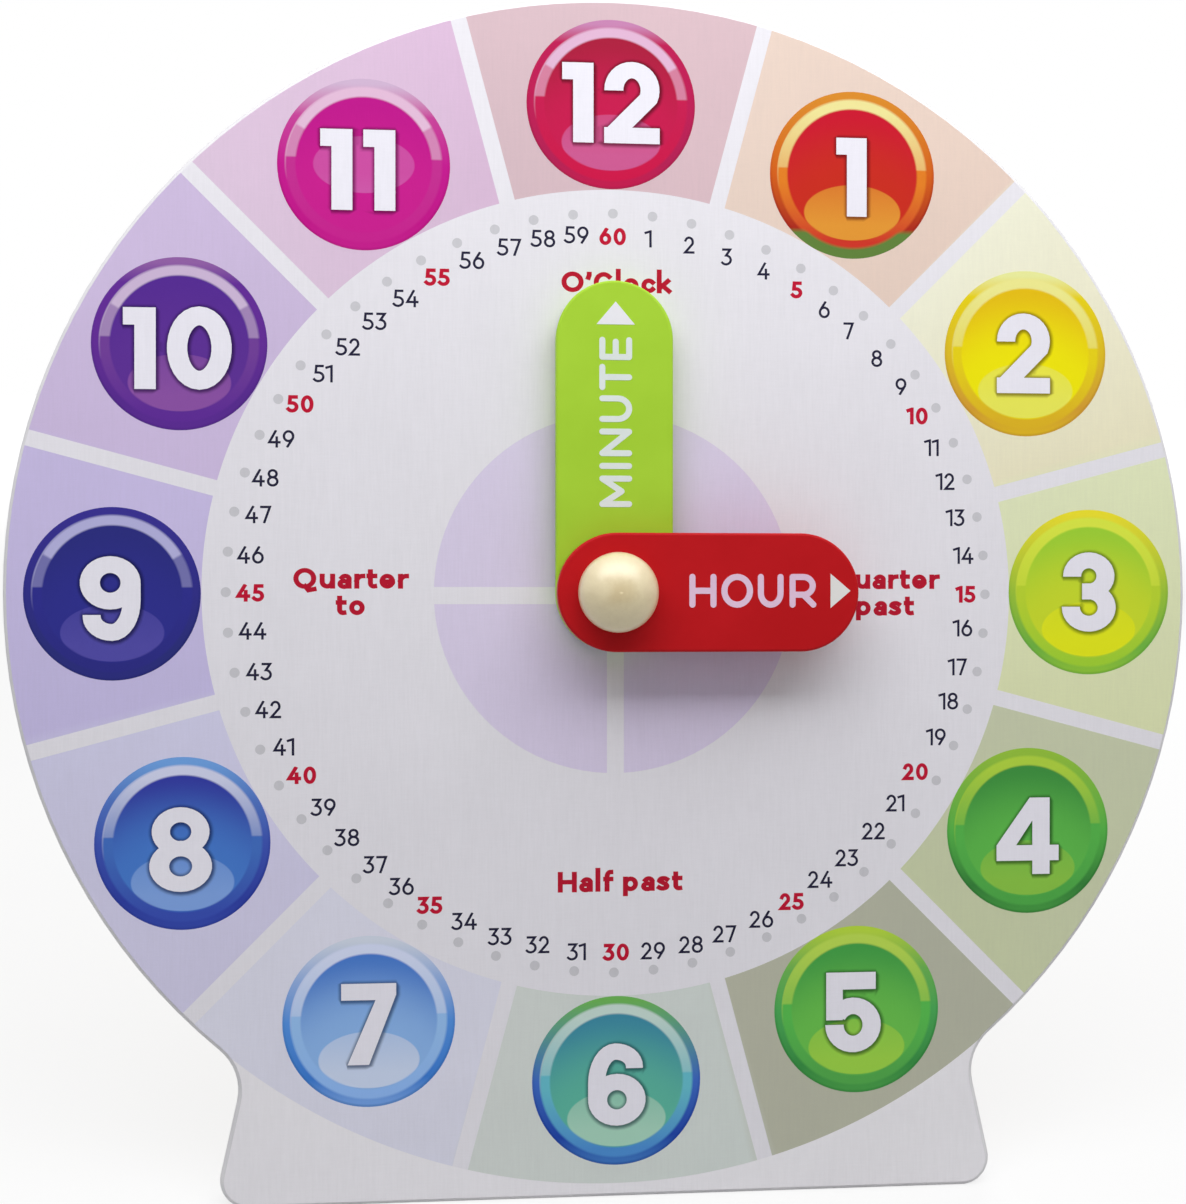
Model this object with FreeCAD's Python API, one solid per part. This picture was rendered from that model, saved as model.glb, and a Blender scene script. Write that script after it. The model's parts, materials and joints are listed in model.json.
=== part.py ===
"""Geared teaching clock: a round-headed board with a flared foot, a printed dial, two paddle hands and a
turned centre knob. A spur-gear train in a case on the back ties the hour hand to the minute hand, 1 turn to
12, and a hinged leg props the board so that it leans back.

The clock is drawn upright in its own "board frame": X to the right, Y from the board's front face towards the
back, Z up the face from the foot. At the end everything is leaned back, so that the foot and the leg stand on
Z = 0, and the origin is the middle of the foot's sole. Lengths are in millimetres and angles in degrees.
"""
import FreeCAD
import Part
import math
import os
from FreeCAD import Vector

# ---- Board -------------------------------------------------------------------------------------------------
BOARD_RADIUS = 150.0        # round head
BOARD_THICKNESS = 9.0
FOOT_DROP = 3.0             # sole below the lowest point of the round head
FOOT_HALF_WIDTH = 99.5      # at the sole, before its corners are rounded
FOOT_FLARE = 12.4           # slope of the foot's sides from upright
FOOT_CORNER = 7.0
NECK_RADIUS = 13.0          # hollow between the round head and the foot
EDGE_ROUND = 1.2            # round-over of the front edge
PRINT_THICKNESS = 0.3       # printed sheet glued on the front
LEAN = 10.0                 # board's lean from upright

# ---- Hands and knob ----------------------------------------------------------------------------------------
HAND_WIDTH = 29.2
HAND_THICKNESS = 5.0
HAND_ROUND = 0.7            # softened front edge
MINUTE_REACH = 77.5         # arbor axis to tip
HOUR_REACH = 60.0
HAND_WASHER_RIM = 6.0       # washer beyond the minute arbor
HAND_WASHER_THICKNESS = 1.0
KNOB_RADIUS = 9.7
KNOB_HEIGHT = 10.4
KNOB_WAIST = 3.6            # height of the knob's widest ring
KNOB_SHOULDER = 4.5         # radius of the curve that starts the knob's crown
KNOB_UNDERCUT = 2.4         # knob's base inside its widest ring
KNOB_CROWN = 4.4            # wood left over the shaft's seat

# ---- Arbors ------------------------------------------------------------------------------------------------
SHAFT_RADIUS = 3.0          # hour shaft
SHAFT_FLAT = 0.8            # depth of its flats, and of the step to its rear journal
TUBE_WALL = 2.0             # minute arbor, a tube round the hour shaft
TUBE_FLAT = 0.9             # depth of each of its two flats
BUSH_WALL = 2.0
BUSH_LIP = 3.9              # flange beyond the bush
RUNNING = 0.06              # radial clearance of a turning fit
SEAT = 0.02                 # radial clearance of a glued or pressed fit
END_PLAY = 0.3              # gap along the axis between parts that turn past each other
DRAG_WASHER_THICKNESS = 1.0

# ---- Gears -------------------------------------------------------------------------------------------------
CENTRE_DISTANCE = 30.0
MINUTE_PINION_TEETH = 12
TRANSFER_WHEEL_TEETH = 36
TRANSFER_PINION_TEETH = 12
HOUR_WHEEL_TEETH = 48
PRESSURE_ANGLE = 25.0
ADDENDUM = 0.9              # in modules
TIP_CLEARANCE = 0.25        # in modules
BACKLASH = 0.16             # each tooth is this much thinner than its share of the pitch circle
WHEEL_FACE = 5.0            # toothed width of the two wheels
PINION_EXTRA = 1.0          # a pinion is this much wider than its wheel, shared by its two sides
WHEEL_WEB = 2.0
WHEEL_RIM = 3.0             # rim below the roots
WHEEL_HUB_RADIUS = 7.0
HOUR_HUB_LENGTH = 5.0       # hour wheel's hub behind its rim
WHEEL_HOLES = 5
WHEEL_HOLE_RADIUS = 3.2
WHEEL_GAP = 1.5             # between the transfer wheel and the hour wheel
TRANSFER_PIN_RADIUS = 2.0
PIN_SEAT = 3.0              # depth of the pin's seat in the gear case, and in the board

# ---- Gear case ---------------------------------------------------------------------------------------------
PLATE_THICKNESS = 2.0       # plate between the case and the board
CASE_WALL = 2.0
CASE_CLEARANCE = 2.6        # tooth tips to the case's inner wall
CASE_ROUND = 3.0            # outer rear edge
FLANGE_THICKNESS = 2.5
FLANGE_WIDTH = 2.5
EAR_RADIUS = 6.0
BOSS_WALL = 2.6             # round a shaft or pin
BOSS_DEPTH = 1.6            # of the rear bearing, inside the case
CAP_WALL = 3.2              # push-on cap, round the journal
CAP_LENGTH = 4.0
CAP_END = 1.5               # cap's wall over the journal's end
CAP_ROUND = 1.2

# ---- Screws ------------------------------------------------------------------------------------------------
SCREW_RADIUS = 1.5
SCREW_HEAD_RADIUS = 3.0
SCREW_HEAD_HEIGHT = 1.8
SCREW_HEAD_ROUND = 0.9
SCREW_HOLE_PLAY = 0.15      # radial, where a screw passes through a flange
SCREW_COVER = 2.0           # wood left in front of a screw's point
SCREW_POINT = 1.8
RECESS_REACH = 1.8          # cross recess, from its middle to the end of an arm
RECESS_WIDTH = 0.7
RECESS_DEPTH = 0.9

# ---- Leg and hinge -----------------------------------------------------------------------------------------
LEG_ANGLE = 24.0            # leg from the board's back, open
LEG_THICKNESS = 9.0
LEG_MARGIN = 5.0            # leg's top beyond each end of the hinge
LEG_SPREAD = 14.0           # leg's foot beyond each side of its top
LEG_HEEL = 26.0             # leg above the hinge pin; its bevel bears on the board
LEG_HEADROOM = 5.0          # leg below the gear case
LEG_ROUND = 1.5
LEG_CORNER = 6.0
HINGE_LENGTH = 50.0
HINGE_PIN_RADIUS = 1.25
HINGE_PIN_HEAD = 1.25       # length of the head at each end of the pin
HINGE_PIN_LIP = 0.75        # head beyond the pin
KNUCKLE_WALL = 1.25
KNUCKLE_GAP = 0.25          # between knuckles, and round them
LEAF_THICKNESS = 1.2
LEAF_SCREW_INSET = 9.0      # leaf screws in from the leaf's ends
LEAF_SCREW_DROP = 12.0      # leaf screws below the pin
LEAF_EDGE = 7.0             # leaf below its screws
STOP_GAP = 0.1              # bevelled heel to board, leg open

# ---- Places that follow from the sizes above ---------------------------------------------------------------
BIG = 4 * BOARD_RADIUS      # past everything
OVERCUT = 1.0               # a cutting tool starts and ends this far outside what it cuts
X_AXIS = Vector(1, 0, 0)
Y_AXIS = Vector(0, 1, 0)
BOARD_BACK = BOARD_THICKNESS
DIAL_HEIGHT = BOARD_RADIUS + FOOT_DROP
JOURNAL_RADIUS = SHAFT_RADIUS - SHAFT_FLAT
TUBE_BORE = SHAFT_RADIUS + RUNNING
TUBE_RADIUS = TUBE_BORE + TUBE_WALL
BUSH_BORE = TUBE_RADIUS + RUNNING
BUSH_RADIUS = BUSH_BORE + BUSH_WALL
BUSH_FLANGE_RADIUS = BUSH_RADIUS + BUSH_LIP
HAND_WASHER_RADIUS = TUBE_RADIUS + HAND_WASHER_RIM

# Hands, from the print forwards
WASHER_BACK = -PRINT_THICKNESS - END_PLAY / 2
WASHER_FRONT = WASHER_BACK - HAND_WASHER_THICKNESS
MINUTE_BACK = WASHER_FRONT - SEAT
MINUTE_FRONT = MINUTE_BACK - HAND_THICKNESS
SPACER_BACK = MINUTE_FRONT - END_PLAY
SPACER_FRONT = SPACER_BACK - HAND_WASHER_THICKNESS
HOUR_BACK = SPACER_FRONT - SEAT
HOUR_FRONT = HOUR_BACK - HAND_THICKNESS
KNOB_BACK = HOUR_FRONT - SEAT
SHAFT_FRONT = KNOB_BACK - KNOB_HEIGHT + KNOB_CROWN

# Gear train, from the board backwards
MINUTE_MODULE = 2 * CENTRE_DISTANCE / (MINUTE_PINION_TEETH + TRANSFER_WHEEL_TEETH)
HOUR_MODULE = 2 * CENTRE_DISTANCE / (TRANSFER_PINION_TEETH + HOUR_WHEEL_TEETH)
PLATE_BACK = BOARD_BACK + PLATE_THICKNESS
DRAG_FRONT = PLATE_BACK + SEAT
DRAG_BACK = DRAG_FRONT + DRAG_WASHER_THICKNESS
MINUTE_PINION_FRONT = DRAG_BACK + SEAT
MINUTE_PINION_BACK = MINUTE_PINION_FRONT + WHEEL_FACE + PINION_EXTRA
TRANSFER_WHEEL_FRONT = MINUTE_PINION_FRONT + PINION_EXTRA / 2
TRANSFER_WHEEL_BACK = TRANSFER_WHEEL_FRONT + WHEEL_FACE
HOUR_WHEEL_FRONT = TRANSFER_WHEEL_BACK + WHEEL_GAP
HOUR_WHEEL_BACK = HOUR_WHEEL_FRONT + WHEEL_FACE
HOUR_HUB_BACK = HOUR_WHEEL_BACK + HOUR_HUB_LENGTH
TRANSFER_GEAR_BACK = HOUR_WHEEL_BACK + PINION_EXTRA / 2
CASE_INNER_BACK = HOUR_HUB_BACK + END_PLAY + BOSS_DEPTH
CASE_BACK = CASE_INNER_BACK + CASE_WALL
CAP_FRONT = CASE_BACK + END_PLAY
CAP_BACK = CAP_FRONT + CAP_LENGTH
SHAFT_BACK = CAP_BACK - CAP_END - SEAT
PIN_BACK = TRANSFER_GEAR_BACK + END_PLAY + PIN_SEAT
TRANSFER_HEIGHT = DIAL_HEIGHT + CENTRE_DISTANCE
HOUR_FLAT_TURN = 90.0       # the hour hand, and so its flats, point to 3 while the minute hand is at 12


def tip_radius(teeth, module):
    """Radius of a gear's tooth tips."""
    return teeth * module / 2 + ADDENDUM * module


def root_radius(teeth, module):
    """Radius of a gear's tooth roots."""
    return teeth * module / 2 - (ADDENDUM + TIP_CLEARANCE) * module


CASE_INNER_RADIUS = CASE_CLEARANCE + max(
    tip_radius(HOUR_WHEEL_TEETH, HOUR_MODULE), tip_radius(TRANSFER_WHEEL_TEETH, MINUTE_MODULE)
)
CASE_RADIUS = CASE_INNER_RADIUS + CASE_WALL
FLANGE_RADIUS = CASE_RADIUS + FLANGE_WIDTH
EAR_OUT = CASE_RADIUS + EAR_RADIUS - CASE_WALL / 2
EAR_PLACES = [
    (side * EAR_OUT, DIAL_HEIGHT + up)
    for side in (-1, 1)
    for up in (0.0, CENTRE_DISTANCE)
]

# Hinge: the pin's axis stands off the board, and the leg off the pin, by the knuckle and its gap
KNUCKLE_RADIUS = HINGE_PIN_RADIUS + KNUCKLE_WALL
STANDOFF = KNUCKLE_RADIUS + KNUCKLE_GAP
HINGE_Y = BOARD_BACK + STANDOFF
HINGE_HEIGHT = DIAL_HEIGHT - FLANGE_RADIUS - LEG_HEADROOM - LEG_HEEL
LEG_BACK = STANDOFF + LEG_THICKNESS


# ---- Shape helpers -----------------------------------------------------------------------------------------
def disc(radius, front, back, x=0.0, z=DIAL_HEIGHT):
    """A round solid along Y from front to back."""
    return Part.makeCylinder(radius, back - front, Vector(x, front, z), Y_AXIS)


def ring(outer, inner, front, back, x=0.0, z=DIAL_HEIGHT):
    """A washer or tube along Y."""
    return disc(outer, front, back, x, z).cut(disc(inner, front, back, x, z))


def box(x0, x1, y0, y1, z0, z1):
    """A box between two corners."""
    return Part.makeBox(x1 - x0, y1 - y0, z1 - z0, Vector(x0, y0, z0))


def plate(wire, front, back):
    """A flat outline drawn at Y = 0, made solid from front to back."""
    solid = Part.Face(wire).extrude(Vector(0, back - front, 0))
    solid.translate(Vector(0, front, 0))
    return solid


def arc(a, b, c):
    """An arc edge from a over b to c."""
    return Part.Arc(a, b, c).toShape()


def line(a, b):
    """A straight edge."""
    return Part.LineSegment(a, b).toShape()


def at(x, z):
    """A point of a flat outline."""
    return Vector(x, 0, z)


def edges_at(solid, y):
    """The edges of a solid that lie flat at this Y."""
    return [e for e in solid.Edges if abs(e.BoundBox.YMin - y) < 1e-6 and abs(e.BoundBox.YMax - y) < 1e-6]


def flat_shaft(radius, flat, front, back, sides, turn=0.0):
    """A round bar at the dial centre with a flat on one side, or on two opposite sides."""
    bar = disc(radius, front, back)
    for side in (1, -1)[:sides]:
        low = DIAL_HEIGHT + min(side * (radius - flat), side * 2 * radius)
        bar = bar.cut(box(-2 * radius, 2 * radius, front, back, low, low + radius + flat))
    bar.rotate(Vector(0, 0, DIAL_HEIGHT), Y_AXIS, turn)
    return bar


def floor_block():
    """All that lies under the table's surface, in the board frame."""
    block = box(-BIG, BIG, -BIG, BIG, -BIG, 0)
    block.rotate(Vector(0, 0, 0), X_AXIS, LEAN)
    return block


# ---- Board and print ---------------------------------------------------------------------------------------
def board_outline():
    """Round head, hollow necks and flared foot, as one closed wire at Y = 0."""
    slope = math.radians(FOOT_FLARE)
    down = Vector(math.sin(slope), 0, -math.cos(slope))     # down the right side of the foot
    outward = Vector(math.cos(slope), 0, math.sin(slope))
    sole = at(FOOT_HALF_WIDTH, 0)
    centre = at(0, DIAL_HEIGHT)

    # Neck: an arc that touches the head from outside and the foot's side
    base = sole + outward * NECK_RADIUS
    reach = BOARD_RADIUS + NECK_RADIUS
    offset = base - centre
    along = offset.dot(down)
    travel = along - math.sqrt(along ** 2 - offset.dot(offset) + reach ** 2)
    neck = base - down * travel
    head_end = centre + (neck - centre) * (BOARD_RADIUS / reach)
    neck_end = neck - outward * NECK_RADIUS
    neck_mid_way = (head_end + neck_end) * 0.5 - neck
    neck_mid = neck + neck_mid_way * (NECK_RADIUS / neck_mid_way.Length)

    # Corner: an arc that touches the foot's side and the sole
    corner_x = FOOT_HALF_WIDTH - FOOT_CORNER * (1 + math.sin(slope)) / math.cos(slope)
    corner = at(corner_x, FOOT_CORNER)
    side_end = corner + outward * FOOT_CORNER
    half_way = (slope + math.radians(-90)) / 2
    corner_mid = corner + Vector(math.cos(half_way), 0, math.sin(half_way)) * FOOT_CORNER
    sole_end = at(corner_x, 0)

    def mirrored(p):
        return Vector(-p.x, p.y, p.z)

    right = [
        arc(head_end, neck_mid, neck_end),
        line(neck_end, side_end),
        arc(side_end, corner_mid, sole_end),
    ]
    left = [
        arc(mirrored(sole_end), mirrored(corner_mid), mirrored(side_end)),
        line(mirrored(side_end), mirrored(neck_end)),
        arc(mirrored(neck_end), mirrored(neck_mid), mirrored(head_end)),
    ]
    head = arc(mirrored(head_end), at(0, DIAL_HEIGHT + BOARD_RADIUS), head_end)
    return Part.Wire([head] + right + [line(sole_end, mirrored(sole_end))] + left)


def make_clock_board():
    """Board with a rounded front edge, a sole sawn to the lean, and holes for the bush, pin and screws."""
    board = plate(board_outline(), 0, BOARD_BACK)
    board = board.makeFillet(EDGE_ROUND, edges_at(board, 0))
    board = board.cut(floor_block())
    back = BOARD_BACK + OVERCUT
    holes = [disc(BUSH_RADIUS + SEAT, -OVERCUT, back)]
    holes.append(disc(TRANSFER_PIN_RADIUS + SEAT, BOARD_BACK - PIN_SEAT, back, 0, TRANSFER_HEIGHT))
    for x, z in EAR_PLACES + leaf_screw_places():
        holes.append(disc(SCREW_RADIUS + SEAT, SCREW_COVER, back, x, z))
    return board.cut(Part.makeCompound(holes))


def make_dial_print():
    """Printed sheet on the board's flat front, as far as the rounded edge, with a hole for the bush."""
    face = Part.Face(board_outline()).makeOffset2D(-EDGE_ROUND)
    sheet = face.extrude(Vector(0, PRINT_THICKNESS, 0))
    sheet.translate(Vector(0, -PRINT_THICKNESS, 0))
    return sheet.cut(disc(BUSH_RADIUS + SEAT, -PRINT_THICKNESS - OVERCUT, OVERCUT))


def make_centre_bush():
    """Flanged bush from the back of the board to the face of the print: the minute arbor's bearing."""
    body = disc(BUSH_RADIUS, -PRINT_THICKNESS, PLATE_BACK)
    flange = disc(BUSH_FLANGE_RADIUS, BOARD_BACK, PLATE_BACK)
    bore = disc(BUSH_BORE, -PRINT_THICKNESS - OVERCUT, PLATE_BACK + OVERCUT)
    return body.fuse(flange).cut(bore).removeSplitter()


# ---- Hands, washers and knob -------------------------------------------------------------------------------
def paddle(reach, front, back):
    """A hand pointing up from the dial centre: a bar with two full-round ends and a softened front edge."""
    half = HAND_WIDTH / 2
    top = DIAL_HEIGHT + reach - half
    wire = Part.Wire([
        line(at(half, DIAL_HEIGHT), at(half, top)),
        arc(at(half, top), at(0, top + half), at(-half, top)),
        line(at(-half, top), at(-half, DIAL_HEIGHT)),
        arc(at(-half, DIAL_HEIGHT), at(0, DIAL_HEIGHT - half), at(half, DIAL_HEIGHT)),
    ])
    hand = plate(wire, front, back)
    return hand.makeFillet(HAND_ROUND, edges_at(hand, front))


def make_minute_hand():
    """Minute hand at 12, seated on the two flats of the minute arbor."""
    hand = paddle(MINUTE_REACH, MINUTE_FRONT, MINUTE_BACK)
    seat = flat_shaft(TUBE_RADIUS + SEAT, TUBE_FLAT, MINUTE_FRONT - OVERCUT, MINUTE_BACK + OVERCUT, 2)
    return hand.cut(seat)


def make_hour_hand():
    """Hour hand at 3, seated on the flat of the hour shaft."""
    hand = paddle(HOUR_REACH, HOUR_FRONT, HOUR_BACK)
    seat = flat_shaft(SHAFT_RADIUS + SEAT, SHAFT_FLAT, HOUR_FRONT - OVERCUT, HOUR_BACK + OVERCUT, 1)
    hand = hand.cut(seat)
    hand.rotate(Vector(0, 0, DIAL_HEIGHT), Y_AXIS, HOUR_FLAT_TURN)
    return hand


def make_minute_washer():
    """Washer between the dial and the minute hand, on the minute arbor."""
    return ring(HAND_WASHER_RADIUS, TUBE_RADIUS + SEAT, WASHER_FRONT, WASHER_BACK)


def make_hour_washer():
    """Washer between the two hands, on the hour shaft."""
    return ring(HAND_WASHER_RADIUS, SHAFT_RADIUS + SEAT, SPACER_FRONT, SPACER_BACK)


def make_centre_knob():
    """Turned mushroom knob glued on the front end of the hour shaft. Y = 0 is its back while it is drawn."""
    rise = KNOB_HEIGHT - KNOB_WAIST
    inset = KNOB_RADIUS - KNOB_SHOULDER
    crown_radius = (inset ** 2 + rise ** 2 - KNOB_SHOULDER ** 2) / (2 * (rise - KNOB_SHOULDER))
    crown_centre = Vector(0, crown_radius - KNOB_HEIGHT, 0)
    shoulder_centre = Vector(inset, -KNOB_WAIST, 0)
    meeting = (shoulder_centre - crown_centre).normalize()
    crown_end = crown_centre + meeting * crown_radius
    shoulder_way = (meeting + X_AXIS).normalize()
    crown_way = (meeting - Y_AXIS).normalize()
    turn = math.radians(45)
    base = Vector(KNOB_RADIUS - KNOB_UNDERCUT, 0, 0)
    waist = Vector(KNOB_RADIUS, -KNOB_WAIST, 0)
    under = base + Vector(KNOB_UNDERCUT * math.cos(turn), -KNOB_WAIST * (1 - math.sin(turn)), 0)
    top = Vector(0, -KNOB_HEIGHT, 0)
    profile = Part.Wire([
        line(top, Vector(0, 0, 0)),
        line(Vector(0, 0, 0), base),
        arc(base, under, waist),
        arc(waist, shoulder_centre + shoulder_way * KNOB_SHOULDER, crown_end),
        arc(crown_end, crown_centre + crown_way * crown_radius, top),
    ])
    knob = Part.Face(profile).revolve(Vector(0, 0, 0), Y_AXIS, 360)
    knob.translate(Vector(0, KNOB_BACK, DIAL_HEIGHT))
    return knob.cut(disc(SHAFT_RADIUS + SEAT, SHAFT_FRONT - END_PLAY, KNOB_BACK + OVERCUT))


# ---- Gears and arbors --------------------------------------------------------------------------------------
def involute(radius, base_radius):
    """Angle by which an involute has turned where it reaches this radius."""
    pressure = math.acos(min(1.0, base_radius / radius))
    return math.tan(pressure) - pressure


def gear_outline(teeth, module, centre_z, turn):
    """Spur gear outline at Y = 0. The middle of one tooth points up when turn, in degrees, is 0."""
    pitch = teeth * module / 2
    base = pitch * math.cos(math.radians(PRESSURE_ANGLE))
    tip = tip_radius(teeth, module)
    root = root_radius(teeth, module)
    start = max(base, root)
    middle = (start + tip) / 2
    half_tooth = math.pi / (2 * teeth) - BACKLASH / (2 * pitch) + involute(pitch, base)

    def point(radius, angle):
        return at(radius * math.sin(angle), centre_z + radius * math.cos(angle))

    def half_angle(radius):
        return half_tooth - involute(radius, base)

    edges = []
    step = 2 * math.pi / teeth
    for tooth in range(teeth):
        a = math.radians(turn) + tooth * step
        edges.append(arc(*(point(r, a - half_angle(r)) for r in (start, middle, tip))))
        edges.append(arc(point(tip, a - half_angle(tip)), point(tip, a), point(tip, a + half_angle(tip))))
        edges.append(arc(*(point(r, a + half_angle(r)) for r in (tip, middle, start))))
        leave, arrive = a + half_angle(start), a + step - half_angle(start)
        if root < start:
            edges.append(line(point(start, leave), point(root, leave)))
        edges.append(arc(point(root, leave), point(root, a + step / 2), point(root, arrive)))
        if root < start:
            edges.append(line(point(root, arrive), point(start, arrive)))
    return Part.Wire(edges)


def gear(teeth, module, front, back, centre_z, turn):
    """A spur gear blank with its teeth, solid right through."""
    return plate(gear_outline(teeth, module, centre_z, turn), front, back)


def lightened(wheel, teeth, module, front, back, centre_z):
    """Leaves a wheel its rim, hub and thin web, and pierces the web with round holes."""
    rim = root_radius(teeth, module) - WHEEL_RIM
    middle = (front + back) / 2
    for a, b in ((front, middle - WHEEL_WEB / 2), (middle + WHEEL_WEB / 2, back)):
        wheel = wheel.cut(ring(rim, WHEEL_HUB_RADIUS, a, b, 0, centre_z))
    across = (rim + WHEEL_HUB_RADIUS) / 2
    for n in range(WHEEL_HOLES):
        a = 2 * math.pi * n / WHEEL_HOLES
        hole = disc(
            WHEEL_HOLE_RADIUS, front, back, across * math.sin(a), centre_z + across * math.cos(a)
        )
        wheel = wheel.cut(hole)
    return wheel


def make_minute_arbor():
    """Tube with the minute pinion on its back end and two flats for the minute hand on its front end."""
    tube = disc(TUBE_RADIUS, MINUTE_BACK, HOUR_WHEEL_FRONT - END_PLAY)
    nose = flat_shaft(TUBE_RADIUS, TUBE_FLAT, MINUTE_FRONT, MINUTE_BACK, 2)
    pinion = gear(MINUTE_PINION_TEETH, MINUTE_MODULE, MINUTE_PINION_FRONT, MINUTE_PINION_BACK, DIAL_HEIGHT, 0)
    bore = disc(TUBE_BORE, MINUTE_FRONT - OVERCUT, HOUR_WHEEL_FRONT)
    return tube.fuse([nose, pinion]).cut(bore).removeSplitter()


def make_transfer_gear():
    """Transfer wheel and transfer pinion in one piece, loose on their pin. A gap of the wheel faces the
    minute pinion's top tooth, and a tooth of the pinion faces down, into the hour wheel."""
    spans = (TRANSFER_WHEEL_FRONT, TRANSFER_WHEEL_BACK, TRANSFER_HEIGHT)
    wheel = gear(TRANSFER_WHEEL_TEETH, MINUTE_MODULE, *spans, 180 + 180 / TRANSFER_WHEEL_TEETH)
    wheel = lightened(wheel, TRANSFER_WHEEL_TEETH, MINUTE_MODULE, *spans)
    pinion = gear(
        TRANSFER_PINION_TEETH, HOUR_MODULE, TRANSFER_WHEEL_BACK, TRANSFER_GEAR_BACK, TRANSFER_HEIGHT, 180
    )
    front, back = TRANSFER_WHEEL_FRONT - OVERCUT, TRANSFER_GEAR_BACK + OVERCUT
    return wheel.fuse(pinion).cut(disc(TRANSFER_PIN_RADIUS + RUNNING, front, back, 0, TRANSFER_HEIGHT))


def make_hour_wheel():
    """Hour wheel with a long hub, seated on the flat of the hour shaft. A gap of the wheel faces up."""
    spans = (HOUR_WHEEL_FRONT, HOUR_WHEEL_BACK, DIAL_HEIGHT)
    wheel = gear(HOUR_WHEEL_TEETH, HOUR_MODULE, *spans, 180 / HOUR_WHEEL_TEETH)
    wheel = lightened(wheel, HOUR_WHEEL_TEETH, HOUR_MODULE, *spans)
    wheel = wheel.fuse(disc(WHEEL_HUB_RADIUS, HOUR_WHEEL_BACK, HOUR_HUB_BACK)).removeSplitter()
    front, back = HOUR_WHEEL_FRONT - OVERCUT, HOUR_HUB_BACK + OVERCUT
    return wheel.cut(flat_shaft(SHAFT_RADIUS + SEAT, SHAFT_FLAT, front, back, 1, HOUR_FLAT_TURN))


def make_hour_shaft():
    """Hour shaft: a flat under the knob and the hand, a flat under the hour wheel, a thin rear journal."""
    front = flat_shaft(SHAFT_RADIUS, SHAFT_FLAT, SHAFT_FRONT, HOUR_BACK, 1, HOUR_FLAT_TURN)
    middle = disc(SHAFT_RADIUS, HOUR_BACK, HOUR_WHEEL_FRONT)
    back = flat_shaft(SHAFT_RADIUS, SHAFT_FLAT, HOUR_WHEEL_FRONT, HOUR_HUB_BACK, 1, HOUR_FLAT_TURN)
    journal = disc(JOURNAL_RADIUS, HOUR_HUB_BACK, SHAFT_BACK)
    return front.fuse([middle, back, journal]).removeSplitter()


def make_drag_washer():
    """Felt washer between the bush and the minute pinion: it keeps the hands where they are put."""
    return ring(BUSH_FLANGE_RADIUS, TUBE_RADIUS + 2 * RUNNING, DRAG_FRONT, DRAG_BACK)


def make_shaft_cap():
    """Push-on cap on the journal behind the case, which keeps the hour shaft in."""
    cap = disc(JOURNAL_RADIUS + CAP_WALL, CAP_FRONT, CAP_BACK)
    cap = cap.makeFillet(CAP_ROUND, edges_at(cap, CAP_BACK))
    return cap.cut(disc(JOURNAL_RADIUS + SEAT, CAP_FRONT - OVERCUT, CAP_BACK - CAP_END))


# ---- Gear case ---------------------------------------------------------------------------------------------
def track(radius, front, back):
    """A long-round solid round both gear centres."""
    wire = Part.Wire([
        line(at(radius, DIAL_HEIGHT), at(radius, TRANSFER_HEIGHT)),
        arc(at(radius, TRANSFER_HEIGHT), at(0, TRANSFER_HEIGHT + radius), at(-radius, TRANSFER_HEIGHT)),
        line(at(-radius, TRANSFER_HEIGHT), at(-radius, DIAL_HEIGHT)),
        arc(at(-radius, DIAL_HEIGHT), at(0, DIAL_HEIGHT - radius), at(radius, DIAL_HEIGHT)),
    ])
    return plate(wire, front, back)


def flange(front, back):
    """The case's rim with its four screw ears."""
    rim = track(FLANGE_RADIUS, front, back)
    for x, z in EAR_PLACES:
        rim = rim.fuse(disc(EAR_RADIUS, front, back, x, z))
    return rim.removeSplitter()


def ear_holes(front, back):
    """Clearance holes for the case's screws."""
    radius = SCREW_RADIUS + SCREW_HOLE_PLAY
    return Part.makeCompound([disc(radius, front - OVERCUT, back + OVERCUT, x, z) for x, z in EAR_PLACES])


def make_gear_plate():
    """Flat plate on the board's back: it carries the bush's flange and the transfer pin's foot."""
    sheet = flange(BOARD_BACK, PLATE_BACK)
    boss = disc(
        TRANSFER_PIN_RADIUS + BOSS_WALL, PLATE_BACK, TRANSFER_WHEEL_FRONT - END_PLAY, 0, TRANSFER_HEIGHT
    )
    sheet = sheet.fuse(boss)
    sheet = sheet.cut(disc(BUSH_FLANGE_RADIUS + SEAT, BOARD_BACK - OVERCUT, PLATE_BACK + OVERCUT))
    pin_hole = disc(
        TRANSFER_PIN_RADIUS + SEAT, BOARD_BACK - OVERCUT, TRANSFER_WHEEL_FRONT, 0, TRANSFER_HEIGHT
    )
    return sheet.cut(pin_hole).cut(ear_holes(BOARD_BACK, PLATE_BACK))


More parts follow.
